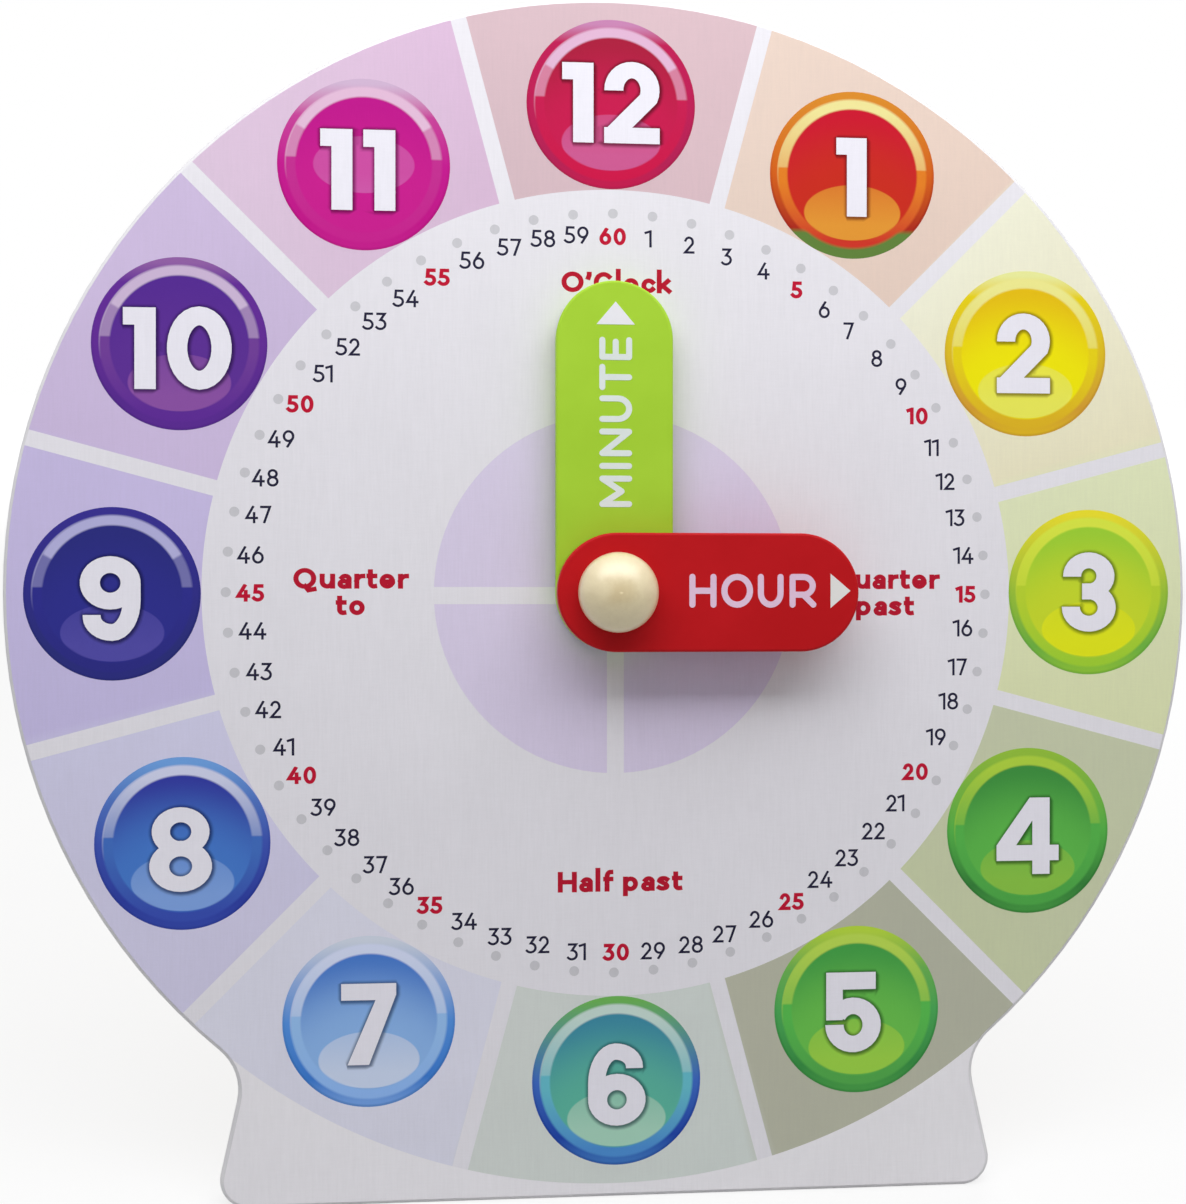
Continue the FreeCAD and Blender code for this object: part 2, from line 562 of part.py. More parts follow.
def make_gear_case():
    """Moulded case over the gears, with the shaft's rear bearing, the pin's boss and a screw flange."""
    shell = track(CASE_RADIUS, PLATE_BACK, CASE_BACK)
    shell = shell.makeFillet(CASE_ROUND, edges_at(shell, CASE_BACK))
    shell = shell.fuse(flange(PLATE_BACK, PLATE_BACK + FLANGE_THICKNESS))
    shell = shell.cut(track(CASE_INNER_RADIUS, PLATE_BACK - OVERCUT, CASE_INNER_BACK))
    bearing = disc(JOURNAL_RADIUS + BOSS_WALL, HOUR_HUB_BACK + END_PLAY, CASE_INNER_BACK)
    pin_boss = disc(
        TRANSFER_PIN_RADIUS + BOSS_WALL, TRANSFER_GEAR_BACK + END_PLAY, CASE_INNER_BACK, 0, TRANSFER_HEIGHT
    )
    shell = shell.fuse([bearing, pin_boss])
    shell = shell.cut(disc(JOURNAL_RADIUS + RUNNING, HOUR_HUB_BACK, CASE_BACK + OVERCUT))
    pin_back = PIN_BACK + SEAT
    shell = shell.cut(disc(TRANSFER_PIN_RADIUS + SEAT, TRANSFER_GEAR_BACK, pin_back, 0, TRANSFER_HEIGHT))
    return shell.cut(ear_holes(PLATE_BACK, PLATE_BACK + FLANGE_THICKNESS)).removeSplitter()


def make_transfer_pin():
    """Steel pin of the transfer gear, held in the board, the plate and the case."""
    front = BOARD_BACK - PIN_SEAT + SEAT
    return disc(TRANSFER_PIN_RADIUS, front, PIN_BACK, 0, TRANSFER_HEIGHT)


# ---- Screws ------------------------------------------------------------------------------------------------
def cross_recess(x, face, z):
    """The driver's cross in a head whose face is at this Y, cut towards -Y."""
    low, high, half = face - RECESS_DEPTH, face + OVERCUT, RECESS_WIDTH / 2
    upright = box(x - half, x + half, low, high, z - RECESS_REACH, z + RECESS_REACH)
    level = box(x - RECESS_REACH, x + RECESS_REACH, low, high, z - half, z + half)
    return upright.fuse(level)


def shank(x, z, front, back):
    """A plain shank along Y that ends in a point at the front."""
    point = Part.makeCone(SCREW_RADIUS, 0, SCREW_POINT, Vector(x, front + SCREW_POINT, z), Vector(0, -1, 0))
    return disc(SCREW_RADIUS, front + SCREW_POINT, back, x, z).fuse(point)


def pan_screw(x, z, seat):
    """Pan-head wood screw driven towards -Y, its head on the face at this Y."""
    head = disc(SCREW_HEAD_RADIUS, seat, seat + SCREW_HEAD_HEIGHT, x, z)
    head = head.makeFillet(SCREW_HEAD_ROUND, edges_at(head, seat + SCREW_HEAD_HEIGHT))
    body = head.fuse(shank(x, z, SCREW_COVER + SEAT, seat))
    return body.removeSplitter().cut(cross_recess(x, seat + SCREW_HEAD_HEIGHT, z))


def flat_screw(x, z, wood, face, thickness):
    """Countersunk wood screw driven towards -Y through a leaf, its head flush with the leaf's face. The wood
    starts at this Y and is this thick."""
    head = Part.makeCone(SCREW_RADIUS, SCREW_HEAD_RADIUS, face - wood, Vector(x, wood, z), Y_AXIS)
    body = head.fuse(shank(x, z, wood - thickness + SCREW_COVER + SEAT, wood))
    return body.removeSplitter().cut(cross_recess(x, face, z))


def make_case_screws():
    """The four screws of the gear case."""
    seat = PLATE_BACK + FLANGE_THICKNESS
    return Part.makeCompound([pan_screw(x, z, seat) for x, z in EAR_PLACES])


# ---- Leg and hinge -----------------------------------------------------------------------------------------
# Hinge parts are drawn round the pin, with its axis at Y = 0, Z = 0 and the leg folded against the board.
def leaf_screw_xs():
    """X of the screws in each leaf."""
    out = HINGE_LENGTH / 2 - LEAF_SCREW_INSET
    return [-out, 0.0, out]


def leaf_screw_places():
    """Places of the fixed leaf's screws on the board."""
    return [(x, HINGE_HEIGHT - LEAF_SCREW_DROP) for x in leaf_screw_xs()]


def knuckle_spans():
    """X spans of the three knuckles: the outer two are the fixed leaf's, the middle one the moving leaf's."""
    half, third, gap = HINGE_LENGTH / 2, HINGE_LENGTH / 6, KNUCKLE_GAP / 2
    return [(-half, -third - gap), (-third + gap, third - gap), (third + gap, half)]


def rod(radius, x0, x1):
    """A round bar along X on the pin's axis."""
    return Part.makeCylinder(radius, x1 - x0, Vector(x0, 0, 0), X_AXIS)


def leaf(side, own, other):
    """One hinge leaf: side -1 lies on the board and side 1 on the leg. own and other are knuckle spans."""
    outer, inner = side * STANDOFF, side * (STANDOFF - LEAF_THICKNESS)
    half = HINGE_LENGTH / 2
    body = box(-half, half, min(outer, inner), max(outer, inner), -LEAF_SCREW_DROP - LEAF_EDGE, 0)
    for x0, x1 in own:
        body = body.fuse(rod(KNUCKLE_RADIUS, x0, x1))
    for x0, x1 in other:
        body = body.cut(box(x0 - KNUCKLE_GAP, x1 + KNUCKLE_GAP, -BIG, BIG, -STANDOFF, BIG))
    for x in leaf_screw_xs():
        sink = Part.makeCone(
            SCREW_RADIUS + SEAT,
            SCREW_HEAD_RADIUS + SEAT,
            LEAF_THICKNESS,
            Vector(x, outer, -LEAF_SCREW_DROP),
            Vector(0, -side, 0),
        )
        body = body.cut(sink)
    return body.removeSplitter()


def on_board(shape):
    """Moves a hinge part to its place on the board."""
    shape.translate(Vector(0, HINGE_Y, HINGE_HEIGHT))
    return shape


def opened(shape):
    """Moves a part of the leg to its place, swung open."""
    shape.rotate(Vector(0, 0, 0), X_AXIS, LEG_ANGLE)
    return on_board(shape)


def make_hinge_leaf_fixed():
    """Hinge leaf on the board, with the two outer knuckles pressed on the pin."""
    spans = knuckle_spans()
    body = leaf(-1, [spans[0], spans[2]], [spans[1]])
    return on_board(body.cut(rod(HINGE_PIN_RADIUS + SEAT, -HINGE_LENGTH, HINGE_LENGTH)))


def make_hinge_leaf_moving():
    """Hinge leaf on the leg, with the middle knuckle, which turns on the pin."""
    spans = knuckle_spans()
    body = leaf(1, [spans[1]], [spans[0], spans[2]])
    return opened(body.cut(rod(HINGE_PIN_RADIUS + RUNNING, -HINGE_LENGTH, HINGE_LENGTH)))


def make_hinge_pin():
    """Hinge pin with a small head at each end."""
    half = HINGE_LENGTH / 2
    pin = rod(HINGE_PIN_RADIUS, -half, half)
    for x0, x1 in ((-half - HINGE_PIN_HEAD, -half), (half, half + HINGE_PIN_HEAD)):
        pin = pin.fuse(rod(HINGE_PIN_RADIUS + HINGE_PIN_LIP, x0, x1))
    return on_board(pin.removeSplitter())


def make_hinge_screws_fixed():
    """Screws of the fixed leaf, in the board."""
    face = BOARD_BACK + LEAF_THICKNESS
    places = leaf_screw_places()
    return Part.makeCompound([flat_screw(x, z, BOARD_BACK, face, BOARD_THICKNESS) for x, z in places])


def make_hinge_screws_moving():
    """Screws of the moving leaf, in the leg."""
    screws = []
    for x in leaf_screw_xs():
        screw = flat_screw(x, 0, -STANDOFF, LEAF_THICKNESS - STANDOFF, LEG_THICKNESS)
        screw.rotate(Vector(0, 0, 0), Vector(0, 0, 1), 180)     # now driven towards +Y
        screw.translate(Vector(0, 0, -LEAF_SCREW_DROP))
        screws.append(opened(screw))
    return Part.makeCompound(screws)


def make_stand_leg():
    """Leg that props the board. Its heel is bevelled to bear on the board, its foot is sawn to the table."""
    slope, lean = math.radians(LEG_ANGLE - LEAN), math.radians(LEAN)
    pin_height = HINGE_HEIGHT * math.cos(lean) - HINGE_Y * math.sin(lean)
    length = (pin_height + LEG_BACK * math.sin(slope)) / math.cos(slope)
    top = HINGE_LENGTH / 2 + LEG_MARGIN
    foot = top + LEG_SPREAD
    corners = [at(-top, LEG_HEEL), at(top, LEG_HEEL), at(foot, -length), at(-foot, -length)]
    leg = plate(Part.makePolygon(corners + corners[:1]), STANDOFF, LEG_BACK)
    top_edges = [e for e in leg.Edges if e.BoundBox.ZMin > 0 and e.BoundBox.YLength > LEG_THICKNESS / 2]
    leg = leg.makeFillet(LEG_CORNER, top_edges)
    leg = leg.makeFillet(LEG_ROUND, edges_at(leg, LEG_BACK))
    for x in leaf_screw_xs():
        hole = disc(SCREW_RADIUS + SEAT, STANDOFF - OVERCUT, LEG_BACK - SCREW_COVER, x, -LEAF_SCREW_DROP)
        leg = leg.cut(hole)
    leg = opened(leg).cut(floor_block())
    return leg.cut(box(-BIG, BIG, -BIG, BOARD_BACK + STOP_GAP, -BIG, BIG))


# ---- Assembly ----------------------------------------------------------------------------------------------
NODES = {
    "clock_board": make_clock_board,
    "dial_print": make_dial_print,
    "centre_bush": make_centre_bush,
    "minute_hand": make_minute_hand,
    "minute_washer": make_minute_washer,
    "minute_arbor": make_minute_arbor,
    "hour_hand": make_hour_hand,
    "hour_washer": make_hour_washer,
    "hour_shaft": make_hour_shaft,
    "hour_wheel": make_hour_wheel,
    "centre_knob": make_centre_knob,
    "shaft_cap": make_shaft_cap,
    "drag_washer": make_drag_washer,
    "transfer_gear": make_transfer_gear,
    "transfer_pin": make_transfer_pin,
    "gear_plate": make_gear_plate,
    "gear_case": make_gear_case,
    "case_screws": make_case_screws,
    "hinge_leaf_fixed": make_hinge_leaf_fixed,
    "hinge_leaf_moving": make_hinge_leaf_moving,
    "hinge_pin": make_hinge_pin,
    "hinge_screws_fixed": make_hinge_screws_fixed,
    "hinge_screws_moving": make_hinge_screws_moving,
    "stand_leg": make_stand_leg,
}


def leaned(shape):
    """From the board frame to the part's frame: the origin is the middle of the foot's sole, on the table."""
    middle = BOARD_THICKNESS / 2
    shape.translate(Vector(0, -middle, -middle * math.tan(math.radians(LEAN))))
    shape.rotate(Vector(0, 0, 0), X_AXIS, -LEAN)
    return shape


def build():
    """Makes every piece in its place, as a dictionary of node name to shape."""
    return {name: leaned(make()) for name, make in NODES.items()}


def main():
    os.makedirs("parts", exist_ok=True)
    for name, shape in build().items():
        shape.exportStep(os.path.join("parts", name + ".step"))


main()
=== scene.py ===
"""Looks of the geared teaching clock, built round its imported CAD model.

The CAD nodes keep their shapes and get their finishes here. The printed dial and the lettering on the hands
are drawn here. Both are drawn in millimetres in a flat frame: X to the right, Z up the dial, and the origin on
the hands' axis. Everything else is in metres, in the frame of the CAD model.
"""
import json
import math

import bpy
import numpy as np
from mathutils import Matrix, Vector
from mathutils.geometry import delaunay_2d_cdt


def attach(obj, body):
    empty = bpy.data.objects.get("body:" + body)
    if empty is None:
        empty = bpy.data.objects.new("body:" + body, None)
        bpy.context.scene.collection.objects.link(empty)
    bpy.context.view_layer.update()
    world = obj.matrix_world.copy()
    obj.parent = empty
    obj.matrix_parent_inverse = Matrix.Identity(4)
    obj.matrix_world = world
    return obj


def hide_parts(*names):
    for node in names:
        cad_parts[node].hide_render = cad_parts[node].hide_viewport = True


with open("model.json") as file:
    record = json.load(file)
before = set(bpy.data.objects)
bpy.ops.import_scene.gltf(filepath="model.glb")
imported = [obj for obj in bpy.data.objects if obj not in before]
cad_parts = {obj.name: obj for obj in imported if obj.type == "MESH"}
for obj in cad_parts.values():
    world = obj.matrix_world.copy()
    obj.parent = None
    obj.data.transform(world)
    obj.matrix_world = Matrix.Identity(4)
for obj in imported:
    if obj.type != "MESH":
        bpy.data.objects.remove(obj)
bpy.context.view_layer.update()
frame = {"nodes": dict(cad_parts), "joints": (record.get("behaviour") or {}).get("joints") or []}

MM = 0.001
NODES = frame["nodes"]
JOINTS = {joint["name"]: joint for joint in frame["joints"]}

# ---- Frame of the dial: its origin is on the hands' axis, at the board's front face ------------------------
RIGHT = Vector((1, 0, 0))
INWARD = Vector(JOINTS["minute_turn"]["axis"]).normalized()
UP = RIGHT.cross(INWARD)
DIAL = Matrix((RIGHT, INWARD, UP)).transposed().to_4x4()
DIAL.translation = Vector(JOINTS["minute_turn"]["pos_m"])


def dial_points(node):
    """A CAD node's vertices in the dial's frame, in millimetres."""
    back = DIAL.inverted()
    return np.array([back @ v.co for v in NODES[node].data.vertices]) / MM


PRINT_FRONT = float(dial_points("dial_print")[:, 1].min())
MINUTE_FRONT = float(dial_points("minute_hand")[:, 1].min())
HOUR_FRONT = float(dial_points("hour_hand")[:, 1].min())

# ---- Dial layout, in millimetres ---------------------------------------------------------------------------
SECTOR_INNER = 102.08
INNER_WAVES = (0.42, -0.12, 0.30, -0.17)    # how the tints' inner edge is out of round, by right, up and twice both
SECTOR_OUTER = 149.3
DIVIDER = 4.0               # pale bars between the twelve sectors
DISC_PLACE = 123.75         # number discs' centres from the dial's centre
DISC_RADIUS = 21.35
DOT_PLACE = 96.0
DOT_RADIUS = 1.25
MINUTE_PLACE = 90.0         # minute numerals' centres
CENTRE_MIDDLE = (0.5, -0.2)
CENTRE_RADIUS = 45.4
CENTRE_BAR = 4.3            # white cross over the centre disc
CROSS_MIDDLE = (0.7, -0.75)
HOURS = range(1, 13)
MINUTES = range(1, 61)

# Lettering: height of a capital or digit, thickness of the pen across and up, space between letters, and how
# much nearer a 1 stands to the digit before it
LIGHT = {"height": 4.35, "pen": (0.62, 0.60), "gap": 0.50, "tuck": 0.3}
BOLD = {"height": 4.35, "pen": (0.98, 0.92), "gap": 0.55, "tuck": 0.0}
WORDS = {"height": 5.2, "pen": (1.28, 1.16)}
HOUR_GAP = 2.7
ON_HOUR = {"height": 8.3, "pen": (1.5, 1.5)}
ON_MINUTE = {"height": 8.18, "pen": (1.5, 1.5)}
LIGHT_WIDTHS = {"1": 0.42, "2": 0.62, "3": 0.61, "4": 0.71, "5": 0.61, "6": 0.66, "7": 0.62, "8": 0.66, "9": 0.66}
LETTER_RISE = 0.06          # paint of the lettering above the hand's face
CURVE_STEP = 12.0           # degrees between points of a drawn curve
DESCENT = 0.3               # how far a tail may hang below the base line, as a share of a capital's height
SHARPEST = 0.35             # limits how far a mitred corner reaches
ROUNDED = 0.95              # a round pen rounds each corner that is sharper than this

# The printed ring of discs sits a little out of true against the ring of dots: turned, moved right and down,
# and a little lower than it is wide, its top to the left of its bottom
RING_TURN = 0.0021
RING_SHIFT = (0.3, -0.08)
RING_LEAN = 0.0035
RING_SQUEEZE = 0.0040
# The ring of dots: moved right and down, and by how much of right and up it is stretched right, and up
DOTS_SHIFT = (0.20, -0.16)
DOTS_STRETCH = ((0.0027, -0.0014), (-0.0025, -0.0016))
# How far the bar after each hour, from 1 to 12, is from its even place, counter-clockwise
BAR_NUDGES = (-0.6, -1.25, -0.4, 0.35, 0.3, 0.25, 0.1, 0.85, 0.6, 0.45, 0.3, -0.3)
# How far each hour numeral's middle is from its disc's middle: to the right, and up
HOUR_NUDGES = {
    1: (-0.2, -0.5), 2: (-0.5, 0.1), 3: (0.0, 0.0), 4: (0.0, -1.4), 5: (-0.9, -0.8), 6: (0.1, -1.1),
    7: (-0.1, -0.7), 8: (-0.5, -1.5), 9: (-0.5, -1.1), 10: (-0.5, -1.0), 11: (-1.5, -1.3), 12: (0.0, 0.6),
}
# How far each minute numeral, from 1 to 60, is from its even place, in tenths: to the right, and up
MINUTES_RIGHT = (-4, 8, 13, 20, 22, 14, 4, 11, 15, 6, 1, 3, 5, 12, 13, 10, 11, 12, 13, 2, 1, 3, 0, 4, 9, 15,
                 8, 13, 9, 9, 3, -2, -6, -7, -9, 0, 8, 5, 6, 4, 3, -1, 1, 0, -1, -5, -1, -8, -3, 1, 6, 8, 7,
                 11, 10, 13, 18, 12, 3, 0)
MINUTES_UP = (0, 1, -3, -3, -7, -5, 1, -2, 0, 4, 7, 8, 6, 2, -4, 3, -4, -1, -5, -10, -11, -9, -10, -5, -9,
              -10, -12, -13, -12, -9, -11, -6, -8, -2, -3, -6, -10, -8, -5, -4, -17, -12, -9, -1, -1, -1, 6,
              6, 15, 18, 15, 9, 7, 6, 9, 10, 11, 10, 6, -1)


# ---- Pen strokes -------------------------------------------------------------------------------------------
def arc(x, z, rx, rz, start, end, step=CURVE_STEP):
    """Points along an ellipse, from start to end in degrees, counter-clockwise from the right."""
    count = max(2, math.ceil(abs(end - start) / step))
    angles = [math.radians(start + (end - start) * i / count) for i in range(count + 1)]
    return [(x + rx * math.cos(a), z + rz * math.sin(a)) for a in angles]


def circle(x, z, radius, count=96):
    """A round outline, counter-clockwise."""
    return arc(x, z, radius, radius, 0, 360 - 360 / count, 360 / count)


def signed_area(polygon):
    """Twice an outline's area, above 0 if it runs counter-clockwise."""
    return sum(ax * bz - bx * az for (ax, az), (bx, bz) in zip(polygon, polygon[1:] + polygon[:1]))


def hull(points):
    """The convex outline round a few points, counter-clockwise."""
    def chain(ordered):
        kept = []
        for p in ordered:
            while len(kept) > 1 and signed_area([kept[-2], kept[-1], p]) <= 0:
                kept.pop()
            kept.append(p)
        return kept[:-1]

    ordered = sorted(set(points))
    return chain(ordered) + chain(ordered[::-1])


def outline(path, half, cap):
    """A pen's line along a path, as quads from point to point. Ends are cut flat ("butt"), a half pen further
    out ("square") or round. Corners are mitred, or round where the ends are. A path that ends where it starts
    is closed."""
    points = [Vector(b) for a, b in zip([(math.inf, 0.0), *path], path) if math.dist(a, b) > 1e-6]
    closed = (points[0] - points[-1]).length < 1e-6
    ways = [(b - a).normalized() for a, b in zip(points, points[1:])]
    if cap == "square" and not closed:
        points[0] = points[0] - ways[0] * half
        points[-1] = points[-1] + ways[-1] * half
    quads = []
    for i, way in enumerate(ways):
        before = ways[i - 1] if i or closed else way
        after = ways[(i + 1) % len(ways)] if i + 1 < len(ways) or closed else way
        corners = []
        for point, other in ((points[i], before), (points[i + 1], after)):
            normal = Vector((-way.y - other.y, way.x + other.x)).normalized()
            share = normal.dot(Vector((-way.y, way.x)))
            if cap == "round" and share < ROUNDED:
                normal, share = Vector((-way.y, way.x)), 1.0
                quads.append(circle(point.x, point.y, half, 16))
            reach = half / max(SHARPEST, share)
            corners += [tuple(point + normal * reach), tuple(point - normal * reach)]
        quads.append(hull(corners))
    if cap == "round" and not closed:
        for end, way in ((points[-1], ways[-1]), (points[0], -ways[0])):
            turn = math.degrees(math.atan2(way.y, way.x))
            quads.append(arc(end.x, end.y, half, half, turn - 90, turn + 90, 22.5))
    return quads


def clipped(polygon, axis, limit, keep_below):
    """The part of an outline on one side of a line."""
    sign = 1 if keep_below else -1
    kept = []
    for a, b in zip(polygon, polygon[1:] + polygon[:1]):
        da, db = sign * (a[axis] - limit), sign * (b[axis] - limit)
        if da <= 0:
            kept.append(a)
        if da * db < 0:
            t = da / (da - db)
            kept.append(tuple(p + (q - p) * t for p, q in zip(a, b)))
    return kept


def pen_line(path, pen, cap):
    """A line drawn with a pen that is pen[0] wide across and pen[1] high, as outlines."""
    squeeze = pen[0] / pen[1]
    drawn = outline([(x, z * squeeze) for x, z in path], pen[0] / 2, cap)
    return [[(x, z / squeeze) for x, z in quad] for quad in drawn]


def ring(x, z, rx, rz):
    """A closed loop."""
    return [arc(x, z, rx, rz, 90, 450)]


# Letters and digits as the middle line of the pen. Each is drawn in a box from 0 to 1 both ways, which is the
# letter's box less half a pen all round. The first value is the box's width as a share of a capital's height.
GLYPHS = {
    "0": (0.72, ring(0.5, 0.5, 0.5, 0.5)),
    "1": (0.44, [[(0, 0.90), (1, 1), (1, 0)]]),
    "2": (0.66, [arc(0.47, 0.70, 0.46, 0.30, 160, -28) + [(0.0, 0.0), (1, 0)]]),
    "3": (0.65, [[(0.06, 1), (0.92, 1), (0.42, 0.60)] + arc(0.40, 0.30, 0.60, 0.30, 80, -140)]),
    "4": (0.79, [[(0.62, 1), (0, 0.27), (1, 0.27)], [(0.74, 0.58), (0.74, 0)]]),
    "5": (0.65, [[(0.92, 1), (0.16, 1), (0.09, 0.57)] + arc(0.40, 0.285, 0.60, 0.285, 92, -145)]),
    "6": (0.70, [[(0.60, 1.0), (0.10, 0.52)]] + ring(0.5, 0.32, 0.5, 0.32)),
    "7": (0.66, [[(0, 1), (1, 1), (0.36, 0)]]),
    "8": (0.70, ring(0.5, 0.77, 0.42, 0.23) + ring(0.5, 0.27, 0.5, 0.27)),
    "9": (0.70, [[(0.40, 0.0), (0.90, 0.48)]] + ring(0.5, 0.68, 0.5, 0.32)),
    "C": (0.98, [arc(0.5, 0.5, 0.5, 0.5, 45, 315)]),
    "E": (0.80, [[(1, 1), (0, 1), (0, 0), (1, 0)], [(0, 0.5), (0.90, 0.5)]]),
    "H": (0.93, [[(0, 0), (0, 1)], [(1, 0), (1, 1)], [(0, 0.5), (1, 0.5)]]),
    "I": (0.18, [[(0, 0), (0, 1)]]),
    "M": (1.12, [[(0, 0), (0, 1), (0.5, 0.28), (1, 1), (1, 0)]]),
    "N": (0.95, [[(0, 0), (0, 1), (1, 0), (1, 1)]]),
    "O": (1.08, ring(0.5, 0.5, 0.5, 0.5)),
    "Q": (1.12, ring(0.48, 0.5, 0.48, 0.5) + [[(0.50, 0.02), (0.68, -0.22), (0.98, -0.16)]]),
    "R": (0.86, [[(0, 0), (0, 1)] + arc(0.52, 0.68, 0.45, 0.32, 90, -90) + [(0, 0.36)],
                 [(0.52, 0.36), (1, 0)]]),
    "T": (0.84, [[(0, 1), (1, 1)], [(0.5, 1), (0.5, 0)]]),
    "U": (0.91, [[(0, 1), (0, 0.42)] + arc(0.5, 0.42, 0.5, 0.42, 180, 360) + [(1, 1)]]),
    "'": (0.30, [[(1, 1), (1, 0.93), (0.2, 0.78)]]),
}


def glyph_lines(char, style, cap, width=None):
    """Outlines of one letter or digit, and its width. Its left bottom corner is at 0, 0."""
    share, paths = GLYPHS[char]
    pen, height = style["pen"], style["height"]
    width = width or share * height
    across, up = max(width - pen[0], 0.0), height - pen[1]
    lines = []
    for path in paths:
        placed = [(pen[0] / 2 + x * across, pen[1] / 2 + z * up) for x, z in path]
        low = 0.0 if min(z for x, z in path) >= 0 else -DESCENT * height
        for quad in pen_line(placed, pen, cap):
            if cap != "round":
                quad = clipped(clipped(quad, 1, height, True), 1, low, False)
            lines.append(quad)
    return lines, width


# Small letters for the four phrases, in shares of a capital's height: width, then middle lines in the same
# unit both ways from the letter's left and the base line. LOW is the middle line of a small letter's top.
PEN = WORDS["pen"][0] / WORDS["height"]
HALF = PEN / 2
LOW = 0.74 - HALF
MID = LOW / 2 + HALF / 2
BOWL = (LOW - HALF) / 2


def bowl(x):
    """A small letter's round bowl."""
    return ring(x, MID, BOWL, BOWL)


SMALL = {
    "a": (0.66, [[(0.66 - HALF, HALF), (0.66 - HALF, 0.47)] + arc(0.36, 0.44, 0.19, LOW - 0.44, 20, 145)]
          + ring(0.30, 0.24, 0.19, 0.135)),
    "c": (0.66, [arc(HALF + BOWL, MID, BOWL, BOWL, 42, 318)]),
    "e": (0.76, [arc(HALF + BOWL, MID, BOWL, BOWL, 5, 325), [(HALF + 0.02, MID - 0.02), (0.62, MID - 0.02)]]),
    "f": (0.48, [[(0.19, HALF), (0.19, 0.74)] + arc(0.36, 0.74, 0.17, 0.22, 180, 85), [(HALF, 0.62), (0.38, 0.62)]]),
    "k": (0.74, [[(HALF, HALF), (HALF, 1.06)], [(0.55, LOW), (0.16, 0.27)], [(0.29, 0.38), (0.60, HALF)]]),
    "l": (0.26, [[(HALF, HALF), (HALF, 1.06)]]),
    "o": (0.80, bowl(HALF + BOWL + 0.02)),
    "p": (0.78, [[(HALF, LOW), (HALF, HALF - 0.24)]] + bowl(HALF + BOWL)),
    "r": (0.46, [[(HALF, HALF), (HALF, LOW)], arc(0.40, 0.36, 0.28, LOW - 0.36, 165, 88)]),
    "s": (0.60, [arc(0.31, 0.50, 0.20, LOW - 0.50, 35, 180) + [(0.16, 0.46), (0.42, 0.33)]
                 + arc(0.27, 0.235, 0.21, 0.235 - HALF, 25, -145)]),
    "t": (0.50, [[(0.19, 0.83), (0.19, 0.28)] + arc(0.35, 0.28, 0.16, 0.28 - HALF, 180, 285), [(HALF, 0.62), (0.40, 0.62)]]),
    "u": (0.74, [[(HALF, LOW), (HALF, 0.36)] + arc(0.36, 0.36, 0.36 - HALF, 0.36 - HALF, 180, 350),
                 [(0.74 - HALF, LOW), (0.74 - HALF, HALF)]]),
}


def letter_lines(char):
    """Outlines of one letter of the four phrases, and its width."""
    height = WORDS["height"]
    if char not in SMALL:
        return glyph_lines(char, WORDS, "square")
    share, paths = SMALL[char]
    lines = []
    for path in paths:
        lines += pen_line([(x * height, z * height) for x, z in path], WORDS["pen"], "square")
    return lines, share * height


def moved(polygons, x, z):
    """The same outlines, moved."""
    return [[(px + x, pz + z) for px, pz in polygon] for polygon in polygons]


def turned(polygons):
    """Outlines turned a quarter to the left, to read upwards."""
    return [[(-z, x) for x, z in polygon] for polygon in polygons]


def set_line(text, letter, gap, space=0.0, tuck=0.0):
    """A line of text from x = 0, as outlines and its length."""
    drawn, x = [], 0.0
    for char in text:
        if char == " ":
            x += space
            continue
        if char == "1" and x:
            x -= tuck
        lines, width = letter(char)
        drawn += moved(lines, x, 0)
        x += width + gap
    return drawn, x - gap


# ---- Heavy hour numerals, in millimetres: width, height, then outlines -------------------------------------
HEAVY_PEN = (4.8, 4.1)


def heavy(path, pen=HEAVY_PEN):
    """One stroke of a heavy numeral, its ends cut flat."""
    return pen_line(path, pen, "butt")


def heavy_ring(x, z, rx, rz, pen=HEAVY_PEN):
    """A loop of a heavy numeral."""
    return heavy(ring(x, z, rx, rz)[0], pen)


def block(x0, x1, z0, z1):
    """An upright rectangle."""
    return [(x0, z0), (x1, z0), (x1, z1), (x0, z1)]


def heavy_six():
    """A round bowl under an arch whose end is cut level."""
    arch = [(11.75, 14.6)] + arc(6.9, 15.0, 4.85, 3.9, 0, 90) + arc(6.9, 11.0, 4.75, 7.9, 90, 180)[1:] + [(2.15, 6.8)]
    return heavy(arch, (4.3, 4.1)) + heavy_ring(7.3, 6.7, 4.9, 4.5)


def about_turn(polygons, width, height):
    """Outlines turned half round within their box."""
    return [[(width - x, height - z) for x, z in polygon] for polygon in polygons]


